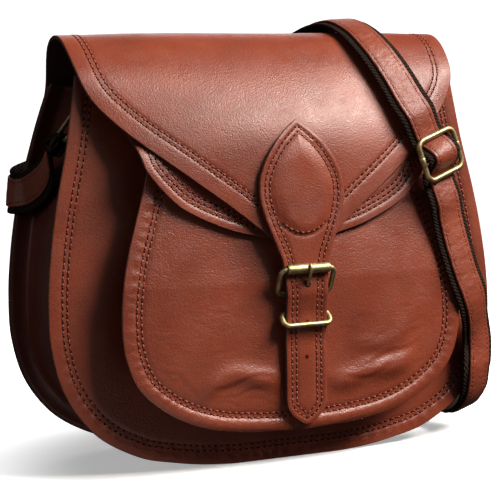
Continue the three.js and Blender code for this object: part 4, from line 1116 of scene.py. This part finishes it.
def closure_rows():
    """Rows of the closure strap from the tail's tip up: half width, outer face and height."""
    half_tail = TAIL_WIDTH / 2
    rows = []
    for share, rise in ((0.06, 0), (0.42, 0.10), (0.78, 0.26), (0.99, 0.48), (1, 0.90)):
        height = TAIL_TIP + rise * TAIL_WIDTH
        rows.append((share * half_tail, pocket_face(0, height) - HANGING_GAP - CLOSURE_LEATHER, height))
    seat = chape_face(CHAPE_FOOT) - GAP - CLOSURE_LEATHER
    rows.append((half_tail, seat - 0.5, CHAPE_FOOT - 0.8 * STRAP_STEP))
    rows.append((half_tail, seat - 0.9, CHAPE_FOOT + CHAPE_BULGE))
    rows.append((half_tail, KEEPER_FACE + GAP, KEEPER_HEIGHT))
    rows.append((half_tail, KEEPER_FACE, KEEPER_BACK_HEIGHT))
    rows.append((half_tail, (KEEPER_FACE + HEEL_FACE) / 2, HEEL_HEIGHT - STRAP_STEP))
    rows.append((half_tail, HEEL_FACE, HEEL_HEIGHT))
    rows.append((1.03 * half_tail, HEEL_FACE, HEEL_HEIGHT + 1.2 * STRAP_STEP))
    rows.append((1.10 * half_tail, NECK_FACE, ROLLER_HEIGHT))
    rows.append((1.16 * half_tail, NECK_FACE, ROLLER_HEIGHT + STRAP_STEP))
    for half, up in LEAF_TABLE:
        height = up * LEAF_TOP
        face = float(flap_middle(height)) - GAP - CLOSURE_LEATHER
        rows.append((half * LEAF_WIDTH / 2, face, height))
    return np.array(rows)


CLOSURE_TABLE = closure_rows()


def closure_sheet():
    """The strap from its tail to the leaf's point."""
    along = even_shares(lambda t: curve(CLOSURE_TABLE, t, 0.4), 0.8, (0.5, 1, 1))
    line = curve(CLOSURE_TABLE, along, 0.4)
    across = edge_shares(40, 0.2)
    x = across[None] * line[:, :1]
    y = np.repeat(line[:, 1:2], len(across), 1)
    z = np.repeat(line[:, 2:], len(across), 1)
    return Sheet(np.stack([x, y, z], -1))


def leaf_foot_line():
    """Curved stitch row that closes the foot of the leaf's pad."""
    x = np.linspace(-LEAF_FOOT_HALF, LEAF_FOOT_HALF, 60)
    return x, LEAF_FOOT + LEAF_FOOT_RISE * (np.abs(x) / LEAF_FOOT_HALF) ** 2.2


strap = closure_sheet()
distance, _, relief = sewn_edge(
    strap, CLOSURE_ROWS, True, roll=0.2, groove=0.35, fill=0.2, pucker=0.05, spread=3)
foot_x, foot_z = leaf_foot_line()
right_side = foot_x > 0
above = strap.grid[..., 2] - np.interp(
    np.abs(strap.grid[..., 0]), foot_x[right_side], foot_z[right_side])
pad = np.clip(above / 7, 0, 1) * np.clip((distance - CLOSURE_ROWS[1]) / 9, 0, 1)
relief += 1.5 * np.sin(pad * math.pi / 2)
relief -= 0.4 * np.exp(-((above / 0.9) ** 2)) * (distance > CLOSURE_ROWS[1])
relief += 0.3
strap.raise_by(relief)
strap.build("closure", CLOSURE_LEATHER, "leather", ["closure_strap"], LEATHER_SET, rim=0.3)

closure_tree = strap.tree()
line, normals, _ = strap.edge(closed=True)
rows = [found for row in CLOSURE_ROWS
        for found in offset_lines(closure_tree, line, normals, row, True)]
rows.append(laid_on(closure_tree, [
    (x, NECK_FACE - LEAF_SEEK_FROM, z) for x, z in zip(foot_x, foot_z)]))
add_stitches("closure_stitches", rows, "leather", pitch=3.2, radius=0.46, hole=0.62)


def tube(points, radii, sides=16, closed=False):
    """Points and faces of a round bar along points: open bars get rounded ends."""
    points = np.asarray(points, float)
    radii = np.broadcast_to(np.asarray(radii, float), (len(points),)).copy()
    if closed:
        tangent = unit(np.roll(points, -1, 0) - np.roll(points, 1, 0))
    else:
        tangent = unit(np.gradient(points, axis=0))
        start, end = radii[0], radii[-1]
        first = [points[0] - tangent[0] * start * share for share in (0.5, 0.38)]
        last = [points[-1] + tangent[-1] * end * share for share in (0.38, 0.5)]
        points = np.vstack([first, points, last])
        radii = np.concatenate([[start * 0.45, start * 0.85], radii, [end * 0.85, end * 0.45]])
        tangent = np.vstack([tangent[:1], tangent[:1], tangent, tangent[-1:], tangent[-1:]])
    side = unit(np.cross((0.13, 0.31, 0.94), tangent[0]))
    sides_list = []
    for ahead in tangent:
        side = unit(side - ahead * (side @ ahead))
        sides_list.append(side)
    aside = np.array(sides_list)
    up = np.cross(tangent, aside)
    if closed:
        final = unit(aside[-1] - tangent[0] * (aside[-1] @ tangent[0]))
        twist = math.atan2(final @ up[0], final @ aside[0])
        angles = -twist * np.arange(len(points)) / len(points)
        aside, up = (aside * np.cos(angles)[:, None] + up * np.sin(angles)[:, None],
                     up * np.cos(angles)[:, None] - aside * np.sin(angles)[:, None])
    turn = 2 * math.pi * np.arange(sides) / sides
    rings = points[:, None] + radii[:, None, None] * (
        aside[:, None] * np.cos(turn)[None, :, None] + up[:, None] * np.sin(turn)[None, :, None])
    count = len(points)
    if closed:
        quads = grid_quads(count + 1, sides, closed=True) % (count * sides)
        return rings.reshape(-1, 3), [quads]
    quads = grid_quads(count, sides, closed=True)
    caps = np.stack([np.arange(sides)[::-1], np.arange(sides) + (count - 1) * sides])
    return rings.reshape(-1, 3), [quads, caps]


def joined(parts):
    """Points and faces of several bodies as one."""
    points, faces, count = [], [], 0
    for body, groups in parts:
        points.append(body)
        faces += [np.asarray(group) + count for group in groups]
        count += len(body)
    return np.vstack(points), faces


def rounded_loop(centre, across, along, half_across, half_along, corner, steps=8):
    """Rounded rectangle of points in the plane of two directions, with points on its sides."""
    points = []
    for quarter, (sign_across, sign_along) in enumerate(((1, 1), (-1, 1), (-1, -1), (1, -1))):
        for step in range(steps + 1):
            angle = (quarter + step / steps) * math.pi / 2
            points.append(
                centre + across * (sign_across * (half_across - corner) + corner * math.cos(angle))
                + along * (sign_along * (half_along - corner) + corner * math.sin(angle)))
    points = np.array(points)
    closed = np.vstack([points, points[:1]])
    way = walked(closed)
    places = [way[0]]
    for here, there in zip(way, way[1:]):
        pieces = max(int((there - here) / 1.2), 1)
        places += [here + (there - here) * (step + 1) / pieces for step in range(pieces)]
    return np.stack([np.interp(places[:-1], way, closed[:, axis]) for axis in range(3)], -1)


def add_brass(name, parts, nodes):
    """One brass piece from several bodies."""
    points, faces = joined(parts)
    return make_object(name, points, faces, [BRASS], nodes=nodes)


ACROSS = np.array([1.0, 0, 0])
BUCKLE_WAY = unit(ROLLER - HEEL)
loop = rounded_loop(
    (HEEL + ROLLER) / 2, ACROSS, BUCKLE_WAY, BUCKLE_WIDTH / 2 - BUCKLE_WIRE,
    np.linalg.norm(ROLLER - HEEL) / 2, BRASS_CORNER)
add_brass("buckle_loop", [tube(loop, BUCKLE_WIRE + BRASS_SKIN, closed=True)], ["buckle_frame"])


def roller_part():
    """Rolled tube with softened ends and a seam line along it."""
    half = ROLLER_LENGTH / 2
    bore = BUCKLE_WIRE + GAP
    outer = ROLLER_RADIUS + ROLLER_SKIN
    profile = [
        (-half, bore), (-half, outer - 0.3), (-half + 0.35, outer),
        *((x, outer) for x in np.linspace(-half + 1.5, half - 1.5, 12)),
        (half - 0.35, outer), (half, outer - 0.3), (half, bore),
        *((x, bore) for x in np.linspace(half - 2, -half + 2, 5)),
    ]
    sides = 32
    turn = 2 * math.pi * np.arange(sides) / sides
    up = np.cross(ACROSS, (0, 1, 0))
    rings = []
    for reach, radius in profile:
        depth = 1 - 0.10 * np.exp(-(((turn - 4.6) / 0.12) ** 2)) * (radius > bore + 0.2)
        ring = ROLLER + ACROSS * reach + radius * depth[:, None] * (
            np.cos(turn)[:, None] * np.array([0, 1.0, 0]) + np.sin(turn)[:, None] * up)
        rings.append(ring)
    count = len(profile)
    quads = grid_quads(count + 1, sides, closed=True) % (count * sides)
    return np.array(rings).reshape(-1, 3), [quads[:, ::-1]]


add_brass("buckle_roll", [roller_part()], ["buckle_roller"])

PRONG_REACH = BUCKLE_WIRE + GAP + PRONG_RADIUS
PRONG_LIFT = ROLLER_RADIUS + GAP + PRONG_RADIUS + 0.1


def prong_points():
    """Hook round the heel bar, then a rod through the strap that rests on the roller."""
    turns = -math.pi * (1.2 - 1.2 * np.linspace(0, 1, 14))
    hook = np.stack([0 * turns, HEEL[1] - PRONG_REACH * np.cos(turns),
                     HEEL[2] + PRONG_REACH * np.sin(turns)], -1)
    last = hook[-1]
    lean = math.atan2(ROLLER[2] - last[2], last[1] - ROLLER[1])
    turns = np.linspace(0, 1.05, 7)
    tip = np.stack([0 * turns, ROLLER[1] - PRONG_LIFT * np.sin(lean + turns),
                    ROLLER[2] - PRONG_LIFT * np.cos(lean + turns)], -1)
    rod = [last + (0, -0.3, 0.8), *(last + (tip[0] - last) * share for share in (0.3, 0.5, 0.7))]
    return np.vstack([hook, rod, tip])


prong = prong_points()
radii = np.concatenate([np.full(len(prong) - 7, PRONG_RADIUS), np.linspace(1, 0.8, 7) * PRONG_RADIUS])
add_brass("buckle_tongue", [tube(prong, radii)], ["buckle_prong"])

keeper_front = np.array([0, KEEPER_FACE - BUCKLE_WIRE - 0.2, KEEPER_HEIGHT])
keeper_way = unit(KEEPER_BACK - keeper_front)
loop = rounded_loop(
    (keeper_front + KEEPER_BACK) / 2, ACROSS, keeper_way, KEEPER_WIDTH / 2 - BUCKLE_WIRE,
    np.linalg.norm(KEEPER_BACK - keeper_front) / 2, 0.85 * BRASS_CORNER)
add_brass("keeper_wire", [tube(loop, BUCKLE_WIRE + BRASS_SKIN, closed=True)], ["keeper_loop"])


def ribbon(stations, section, relief=None):
    """Band through stations with a closed section of places across and over its middle."""
    point, across, face = stations
    section = np.asarray(section, float)
    sideways = np.broadcast_to(section[None, :, 0], (len(point), len(section)))
    height = np.broadcast_to(section[None, :, 1], sideways.shape)
    if relief is not None:
        height = height + relief(sideways, height)
    grid = point[:, None] + across[:, None] * sideways[..., None] + face[:, None] * height[..., None]
    rows, columns = sideways.shape
    quads = grid_quads(rows, columns, closed=True)[:, ::-1]
    caps = np.stack([np.arange(columns), np.arange(columns)[::-1] + (rows - 1) * columns])
    return grid.reshape(-1, 3), [quads, caps], sideways


def band_section(half, low, high, columns, corner=0.45):
    """Section of a flat band with rounded edges, over its top from left to right and back."""
    top = [(x, high) for x in np.linspace(-half + corner, half - corner, columns)]
    bottom = [(x, low) for x in np.linspace(half - corner, -half + corner, columns)]
    middle = (low + high) / 2
    reach = (high - low) / 2
    shoulder = half - corner * 0.25
    right = [(shoulder, middle + reach * 0.62), (half, middle), (shoulder, middle - reach * 0.62)]
    left = [(-x, -z + 2 * middle) for x, z in right]
    return top + right + bottom + left


def line_stations(points, across, spacing=0.8, tension=0.5):
    """Stations along a bent band whose way across is the same everywhere."""
    shares = even_shares(lambda t: curve(points, t, tension), spacing)
    line = curve(points, shares, tension)
    tangent = unit(np.gradient(line, axis=0))
    across = np.broadcast_to(across, line.shape)
    return line, across, unit(np.cross(across, tangent))


# End of the chape outside the heel bar: how far it stands off, and how far below the bar
CHAPE_END = ((0.5, 0.75 * CHAPE_LAP), (0.2, CHAPE_LAP))


def chape_points():
    """Chape from its foot on the pocket up, round the heel bar and down on its outside."""
    turn = BUCKLE_WIRE + GAP + CHAPE_LEATHER / 2

    def seat(height):
        return pocket_face(0, height) - GAP - CHAPE_LEATHER / 2

    heights = CHAPE_FOOT, (CHAPE_FOOT + HEEL_HEIGHT) / 2, HEEL_HEIGHT - 0.75 * CHAPE_LAP
    points = [(0, seat(height) - 0.05, height) for height in heights]
    for step in range(7):
        angle = math.pi * (1 - step / 6)
        points.append((0, HEEL[1] - turn * math.cos(angle), HEEL[2] + turn * math.sin(angle)))
    points.append((0, HEEL[1] - turn + 0.6, HEEL[2] - 3))
    for off, drop in CHAPE_END:
        points.append((0, seat(HEEL_HEIGHT) - CHAPE_LEATHER - GAP - off, HEEL[2] - drop))
    return np.array(points[::-1])


stations = line_stations(chape_points(), ACROSS, 0.7)
half = CHAPE_LEATHER / 2
points, faces, _ = ribbon(stations, band_section(CHAPE_WIDTH / 2, -half, half, 12))
make_object("buckle_tab", points, faces, [CHESTNUT], nodes=["buckle_chape"])


def disc_part(centre, facing, radius, height):
    """Low dome that marks a punched hole; its dark colour is painted shade inside the hole."""
    facing = unit(facing)
    side = unit(np.cross(facing, (0, 0.1, 1)))
    up = np.cross(side, facing)
    turn = 2 * math.pi * np.arange(20) / 20
    rings = [centre + (side * np.cos(turn)[:, None] + up * np.sin(turn)[:, None]) * radius * share
             + facing * height * lift for share, lift in ((1, -3), (1, 0.4), (0.8, 1), (0.3, 1.1))]
    count = len(rings)
    caps = np.stack([np.arange(20)[::-1], np.arange(20) + (count - 1) * 20])
    return np.array(rings).reshape(-1, 3), [grid_quads(count, 20, closed=True), caps]


# Dark domes painted as the shade inside the strap's punched holes.
hole_shade_parts = []
prong_hole = HEEL[2] + PRONG_REACH
for index in (1, 2):
    place, facing, _, _ = closure_tree.find_nearest(
        Vector((0, KEEPER_FACE - SEEK_FROM, prong_hole - index * HOLE_SPACING + 1)))
    hole_shade_parts.append(disc_part(np.array(place), np.array(facing), HOLE_SHOWN, HOLE_DOME))
place, facing, _, _ = closure_tree.find_nearest(
    Vector((0, HEEL_FACE - SEEK_FROM, HEEL_HEIGHT + 5.5)))
hole_shade_parts.append(disc_part(np.array(place), np.array(facing), PRONG_HOLE_SHOWN, HOLE_DOME))
points, faces = joined(hole_shade_parts)
make_object("strap_hole_shades", points, faces, [HOLE_SHADE])


# Shoulder strap

def ring_frame(hand):
    """Lower and upper bar of a ring, the way between them, along the bars and out of the bag."""
    side_share, deep, up = RING_SPOT
    lower = np.array([hand * side_share * HALF_BODY, float(depth_at(deep)), up * FLAP_HEIGHT])
    way = unit(np.array([-hand * RING_WAY[0], -RING_WAY[1], RING_WAY[2]]))
    bar = np.array([0, 1.0, 0])
    bar = unit(bar - way * (bar @ way))
    outward = unit(np.cross(bar, way) * hand)
    return lower, lower + way * (RING_LENGTH - 2 * RING_WIRE), way, bar, outward


def strap_end(hand):
    """Stations of the webbing from its run to the ring, over the ring's bar and back inside."""
    lower, _, way, bar, outward = ring_frame(hand)
    turn = RING_WIRE + 2.2 * GAP + WEBBING_THICKNESS / 2
    rows = [(lower + outward * turn - way * STRAP_RETURN / 2, outward, None)]
    for step in range(7):
        angle = math.pi * step / 6
        face = outward * math.cos(angle) + way * math.sin(angle)
        rows.append((lower + face * turn, face, bar))
    rows.append((lower - outward * turn * 0.8 - way * STRAP_RETURN, -outward, bar))
    return rows


def slider_lift(distance):
    """How far the webbing stands off its route beside the slider."""
    pitch = SLIDER_HEIGHT / 2 - SLIDER_WIRE
    reach = np.abs(distance)
    over = SLIDER_BAR + 2.5 * GAP + WEBBING_THICKNESS / 2
    under = -(SLIDER_WIRE + 2.5 * GAP + STRIP_THICKNESS + WEBBING_THICKNESS / 2)
    near = (over + under) / 2 + (over - under) / 2 * np.cos(math.pi * np.minimum(reach / pitch, 1))
    away = np.clip((reach - pitch) / (1.6 * pitch), 0, 1)
    return np.where(reach < pitch, near, under * (0.5 + 0.5 * np.cos(math.pi * away)))


def strap_stations(spacing=0.8):
    """Stations of the whole strap, its runs between the rings, and the slider's frame."""
    route = [(np.array([side_share * HALF_BODY, float(depth_at(depth)), up * FLAP_HEIGHT]),
              unit(face), None) for side_share, depth, up, face in STRAP_TABLE]
    first_end = strap_end(1)[::-1]
    ordered = first_end + route + strap_end(-1)
    spans = len(ordered) - 1
    shares = even_shares(lambda t: curve([row[0] for row in ordered], t), spacing)
    point = curve([row[0] for row in ordered], shares)
    face = unit(curve([row[1] for row in ordered], shares))
    tangent = unit(np.gradient(point, axis=0))
    slider_share = (len(first_end) + SLIDER_ROW) / spans
    middle = int(np.argmin(np.abs(shares - slider_share)))
    way = walked(point)
    across = unit(np.cross(tangent, face))
    span = np.minimum((shares * spans).astype(int), spans - 1)
    looped = np.array([
        ordered[place][2] is not None or ordered[place + 1][2] is not None for place in span])
    for index, place in enumerate(span):
        first, second = ordered[place][2], ordered[place + 1][2]
        if first is not None and second is not None:
            across[index] = first * np.sign(across[index] @ first)
    slider_across = across[middle]
    slider_along = unit(tangent[middle] - slider_across * (tangent[middle] @ slider_across))
    slider = point[middle].copy(), slider_across, slider_along
    over = np.cross(across, tangent)
    point = point + over * slider_lift(way - way[middle])[:, None]
    tangent = unit(np.gradient(point, axis=0))
    face = unit(np.cross(across, tangent))
    return (point, across, face), looped, slider, walked(point)


(strap_point, strap_across, strap_face), looped, slider, strap_way = strap_stations()


def selvedge(sideways, height):
    """Fine beat of the weave at the two edges of the webbing."""
    edge = np.clip((np.abs(sideways) - WEBBING_WIDTH / 2 + 1.6) / 1.6, 0, 1)
    beat = np.sin(strap_way * 2 * math.pi / 1.9)[:, None]
    return 0.12 * beat * edge * np.sign(height)


half = WEBBING_THICKNESS / 2
points, faces, sideways = ribbon(
    (strap_point, strap_across, strap_face),
    band_section(WEBBING_WIDTH / 2, -half, half, 11, 0.6), selvedge)
piece = make_object("shoulder_webbing", points, faces, [WEBBING], nodes=["strap_webbing"])
run = piece.data.attributes.new("run", "FLOAT_VECTOR", "POINT")
run_values = np.stack([np.broadcast_to(strap_way[:, None], sideways.shape), sideways, 0 * sideways], -1)
run.data.foreach_set("vector", run_values.astype(np.float32).ravel())

FACING_TRIM = 14
ROW_TRIM = 6
free = np.flatnonzero(~looped)[FACING_TRIM:-FACING_TRIM]
strip_way = strap_way[free]
strip_row = STRIP_WIDTH / 2 - STRIP_ROW_INSET


def strip_relief(sideways, height):
    """Sunk stitch rows, a fuller middle and fine folds across the leather."""
    top = height > WEBBING_THICKNESS
    row = 0.28 * np.exp(-(((np.abs(sideways) - strip_row) / 0.6) ** 2))
    along = np.broadcast_to(strip_way[:, None], sideways.shape)
    places = np.stack([along, sideways * 0.28, 0 * sideways], -1)
    folds = 0.07 * waves(places, 3.0, 31) + 0.05 * waves(places, 1.7, 33) + 0.05 * waves(places, 9, 32)
    middle = 0.35 * (1 - (sideways / (STRIP_WIDTH / 2)) ** 2)
    inside = np.clip((STRIP_WIDTH / 2 - np.abs(sideways)) / 1.5, 0, 1)
    return np.where(top, (folds + middle) * inside - row, 0)


low = WEBBING_THICKNESS / 2 + GAP * 0.4
strip_stations = strap_point[free], strap_across[free], strap_face[free]
points, faces, _ = ribbon(
    strip_stations, band_section(STRIP_WIDTH / 2, low, low + STRIP_THICKNESS, 22, 0.5), strip_relief)
make_object(
    "strap_facing", points, faces, [STRIP_LEATHER], nodes=["strap_leather"])

strip_lines = []
for sign in (-1, 1):
    over = low + STRIP_THICKNESS - 0.12
    line = strap_point[free] + strap_across[free] * sign * strip_row + strap_face[free] * over
    strip_lines.append((line[ROW_TRIM:-ROW_TRIM], strap_face[free][ROW_TRIM:-ROW_TRIM]))
add_stitches("strap_stitches", strip_lines, "leather", pitch=3.0, length=0.62, radius=0.36, hole=0.4)

slider_point, slider_across, slider_along = slider
half_across = SLIDER_WIDTH / 2 - SLIDER_WIRE
half_along = SLIDER_HEIGHT / 2 - SLIDER_WIRE
loop = rounded_loop(slider_point, slider_across, slider_along, half_across, half_along, 1.25 * BRASS_CORNER)
ends = [slider_point + slider_across * sign * half_across for sign in (-1, 1)]
parts = [tube(loop, SLIDER_WIRE + BRASS_SKIN, closed=True),
         tube(np.linspace(ends[0], ends[1], 12), SLIDER_BAR)]
for end in ends:
    crimp = [end + slider_along * reach for reach in (-CRIMP_REACH, 0, CRIMP_REACH)]
    parts.append(tube(crimp, SLIDER_WIRE + CRIMP_SWELL))
add_brass("strap_slider", parts, ["slider_frame"])

for hand, name in ((1, "right"), (-1, "left")):
    lower, upper, way, bar, outward = ring_frame(hand)
    loop = rounded_loop(
        (lower + upper) / 2, bar, way, RING_WIDTH / 2 - RING_WIRE,
        RING_LENGTH / 2 - RING_WIRE, BRASS_CORNER)
    add_brass(f"side_ring_{name}", [tube(loop, RING_WIRE, closed=True)], [f"ring_{name}"])


def tab_points(hand):
    """Tab from the side's fold, under the ring's upper bar and back up on its outside."""
    _, upper, way, bar, outward = ring_frame(hand)
    turn = RING_WIRE + GAP + TAB_LEATHER / 2

    def seat(height, out):
        inset = 1.15 * SEAM_FLANGE + FOLD_BRIDGE * float(fold_at(height))
        wall = (float(half_at(BODY_POINTS, height)) - inset) * hand
        return np.array([wall + hand * (3 * GAP + out), upper[1], height])

    top = min(upper[2] + TAB_LENGTH, WALL_HEIGHT - 2)
    slope = 1.12
    inside = slope * (GAP + TAB_LEATHER / 2)
    outside = slope * (2.4 * GAP + 1.5 * TAB_LEATHER)
    points = [seat(top, inside), seat(top - 0.55 * TAB_LENGTH, inside)]
    for step in range(7):
        angle = math.pi * (1 - step / 6)
        ray = outward * math.cos(angle) - way * math.sin(angle)
        points.append(upper + ray * turn)
    points += [seat(top - 0.35 * TAB_LENGTH, outside), seat(top - 0.1 * TAB_LENGTH, outside)]
    return np.array(points), bar


for hand, name in ((1, "right"), (-1, "left")):
    points, bar = tab_points(hand)
    stations = line_stations(points, bar, 0.6, 0.4)
    half = TAB_LEATHER / 2
    points, faces, _ = ribbon(stations, band_section(TAB_WIDTH / 2, -half, half, 12))
    make_object(f"side_tab_{name}", points, faces, [CHESTNUT], nodes=[f"ring_tab_{name}"])


# Floor, lights and camera

# The floor's glow is painted light: FLOOR_GLOW near the bag, rising to full between FLOOR_NEAR and
# FLOOR_FAR metres out, so that the bag's cast shadow fades away from it.
FLOOR_GLOW = 0.36
FLOOR_NEAR = 0.11
FLOOR_FAR = 0.20
FLOOR_REACH = 3.6
FLOOR_BEND = 0.9
WALL_TOP = 5.0
FLOOR_SIDES = 72
WARM_WHITE = (1, 0.95, 0.88)
SENSOR_WIDTH = 36


def stage_floor():
    """Pale round floor that curves up into a wall on all sides. It glows, as painted light: dimly near the
    bag and fully from a little way out, which washes the bag's shadow out of the farther floor.
    """
    bend = [(FLOOR_REACH + FLOOR_BEND * math.sin(a), FLOOR_BEND - FLOOR_BEND * math.cos(a))
            for a in np.linspace(0, math.pi / 2, 12)]
    rings = [(0.01, 0), *bend, (FLOOR_REACH + FLOOR_BEND, WALL_TOP)]
    turn = 2 * math.pi * np.arange(FLOOR_SIDES) / FLOOR_SIDES
    points = [(reach * math.cos(a), reach * math.sin(a), height) for reach, height in rings for a in turn]
    quads = grid_quads(len(rings), len(turn), closed=True)
    mesh = bpy.data.meshes.new("floor")
    mesh.from_pydata(points, [], quads.tolist())
    for polygon in mesh.polygons:
        polygon.use_smooth = True
    floor = bpy.data.objects.new("floor", mesh)
    bpy.context.scene.collection.objects.link(floor)
    material, nodes, links, shader = new_material("floor")
    shader.inputs["Base Color"].default_value = (0.92, 0.92, 0.925, 1)
    shader.inputs["Roughness"].default_value = 0.9
    shader.inputs["Specular IOR Level"].default_value = 0.1
    shader.inputs["Emission Color"].default_value = (1, 1, 1, 1)
    place = nodes.new("ShaderNodeTexCoord").outputs["Object"]
    reach = nodes.new("ShaderNodeVectorMath")
    reach.operation = "LENGTH"
    links.new(place, reach.inputs[0])
    # Painted light: the glow grows with the distance from the bag.
    span = span_node(nodes, links, reach.outputs["Value"], FLOOR_GLOW, 1.0, FLOOR_NEAR, FLOOR_FAR)
    span.interpolation_type = "SMOOTHSTEP"
    links.new(span.outputs["Result"], shader.inputs["Emission Strength"])
    mesh.materials.append(material)
    floor.visible_diffuse = False
    floor.visible_glossy = False


stage_floor()


def towards(azimuth, elevation):
    """Direction from the bag to a light or the camera, by degrees from its front and upwards."""
    a, e = math.radians(azimuth), math.radians(elevation)
    return Vector((math.sin(a) * math.cos(e), -math.cos(a) * math.cos(e), math.sin(e)))


def in_metres(place):
    """A place on the bag in the frame's metres."""
    return Vector(tuple((np.array(place) + ORIGIN) * 0.001))


def soft_box(
        name, azimuth, elevation, reach, size, power, color=(1, 1, 1), target=(0, 30, 120)):
    """Rectangular light of a width and height in metres that looks at a target on the bag."""
    back = towards(azimuth, elevation)
    light = bpy.data.lights.new(name, "AREA")
    light.shape = "RECTANGLE"
    light.size, light.size_y = size
    light.energy = power
    light.color = color
    lamp = bpy.data.objects.new(name, light)
    lamp.location = in_metres(target) + back * reach
    lamp.rotation_mode = "QUATERNION"
    lamp.rotation_quaternion = back.to_track_quat("Z", "Y")
    bpy.context.scene.collection.objects.link(lamp)
    return lamp


soft_box("key", 48, 40, 2.4, (1.7, 0.75), 119, WARM_WHITE)
card = soft_box("card", 20, 46, 2.4, (1.5, 0.7), 36, WARM_WHITE)
card.visible_diffuse = False
soft_box("fill", -75, 20, 3.0, (1.6, 1.6), 8)
soft_box("bounce", -20, -35, 0.30, (0.22, 0.22), 0.14, target=(-30, -40, 35))
soft_box("rear", 165, 28, 3.0, (1.6, 1.6), 16)

world = bpy.data.worlds.new("studio")
bpy.context.scene.world = world
world.use_nodes = True
world.node_tree.nodes["Background"].inputs["Color"].default_value = (1, 1, 1, 1)
world.node_tree.nodes["Background"].inputs["Strength"].default_value = 0.04
bpy.context.scene.view_settings.view_transform = "Standard"

# Camera of the photograph, fitted to the bag's outline
CAMERA_AZIMUTH = -22.08
CAMERA_ELEVATION = 2.48
CAMERA_ROLL = -2.68
CAMERA_DISTANCE = 807.37
CAMERA_AIM = (-18.16, 0, 120.3)
FOCAL_PIXELS = 1423.45
IMAGE_PIXELS = 500

back = towards(CAMERA_AZIMUTH, CAMERA_ELEVATION)
camera_data = bpy.data.cameras.new("camera")
camera_data.sensor_width = SENSOR_WIDTH
camera_data.lens = SENSOR_WIDTH * FOCAL_PIXELS / IMAGE_PIXELS
camera_data.clip_start = 0.01
camera_data.clip_end = 50
camera = bpy.data.objects.new("camera", camera_data)
bpy.context.scene.collection.objects.link(camera)
level = back.to_track_quat("Z", "Y").to_matrix().to_4x4()
turned = level @ Matrix.Rotation(math.radians(CAMERA_ROLL), 4, "Z")
turned.translation = in_metres(CAMERA_AIM) + back * CAMERA_DISTANCE * 0.001
camera.matrix_world = turned
bpy.context.scene.camera = camera
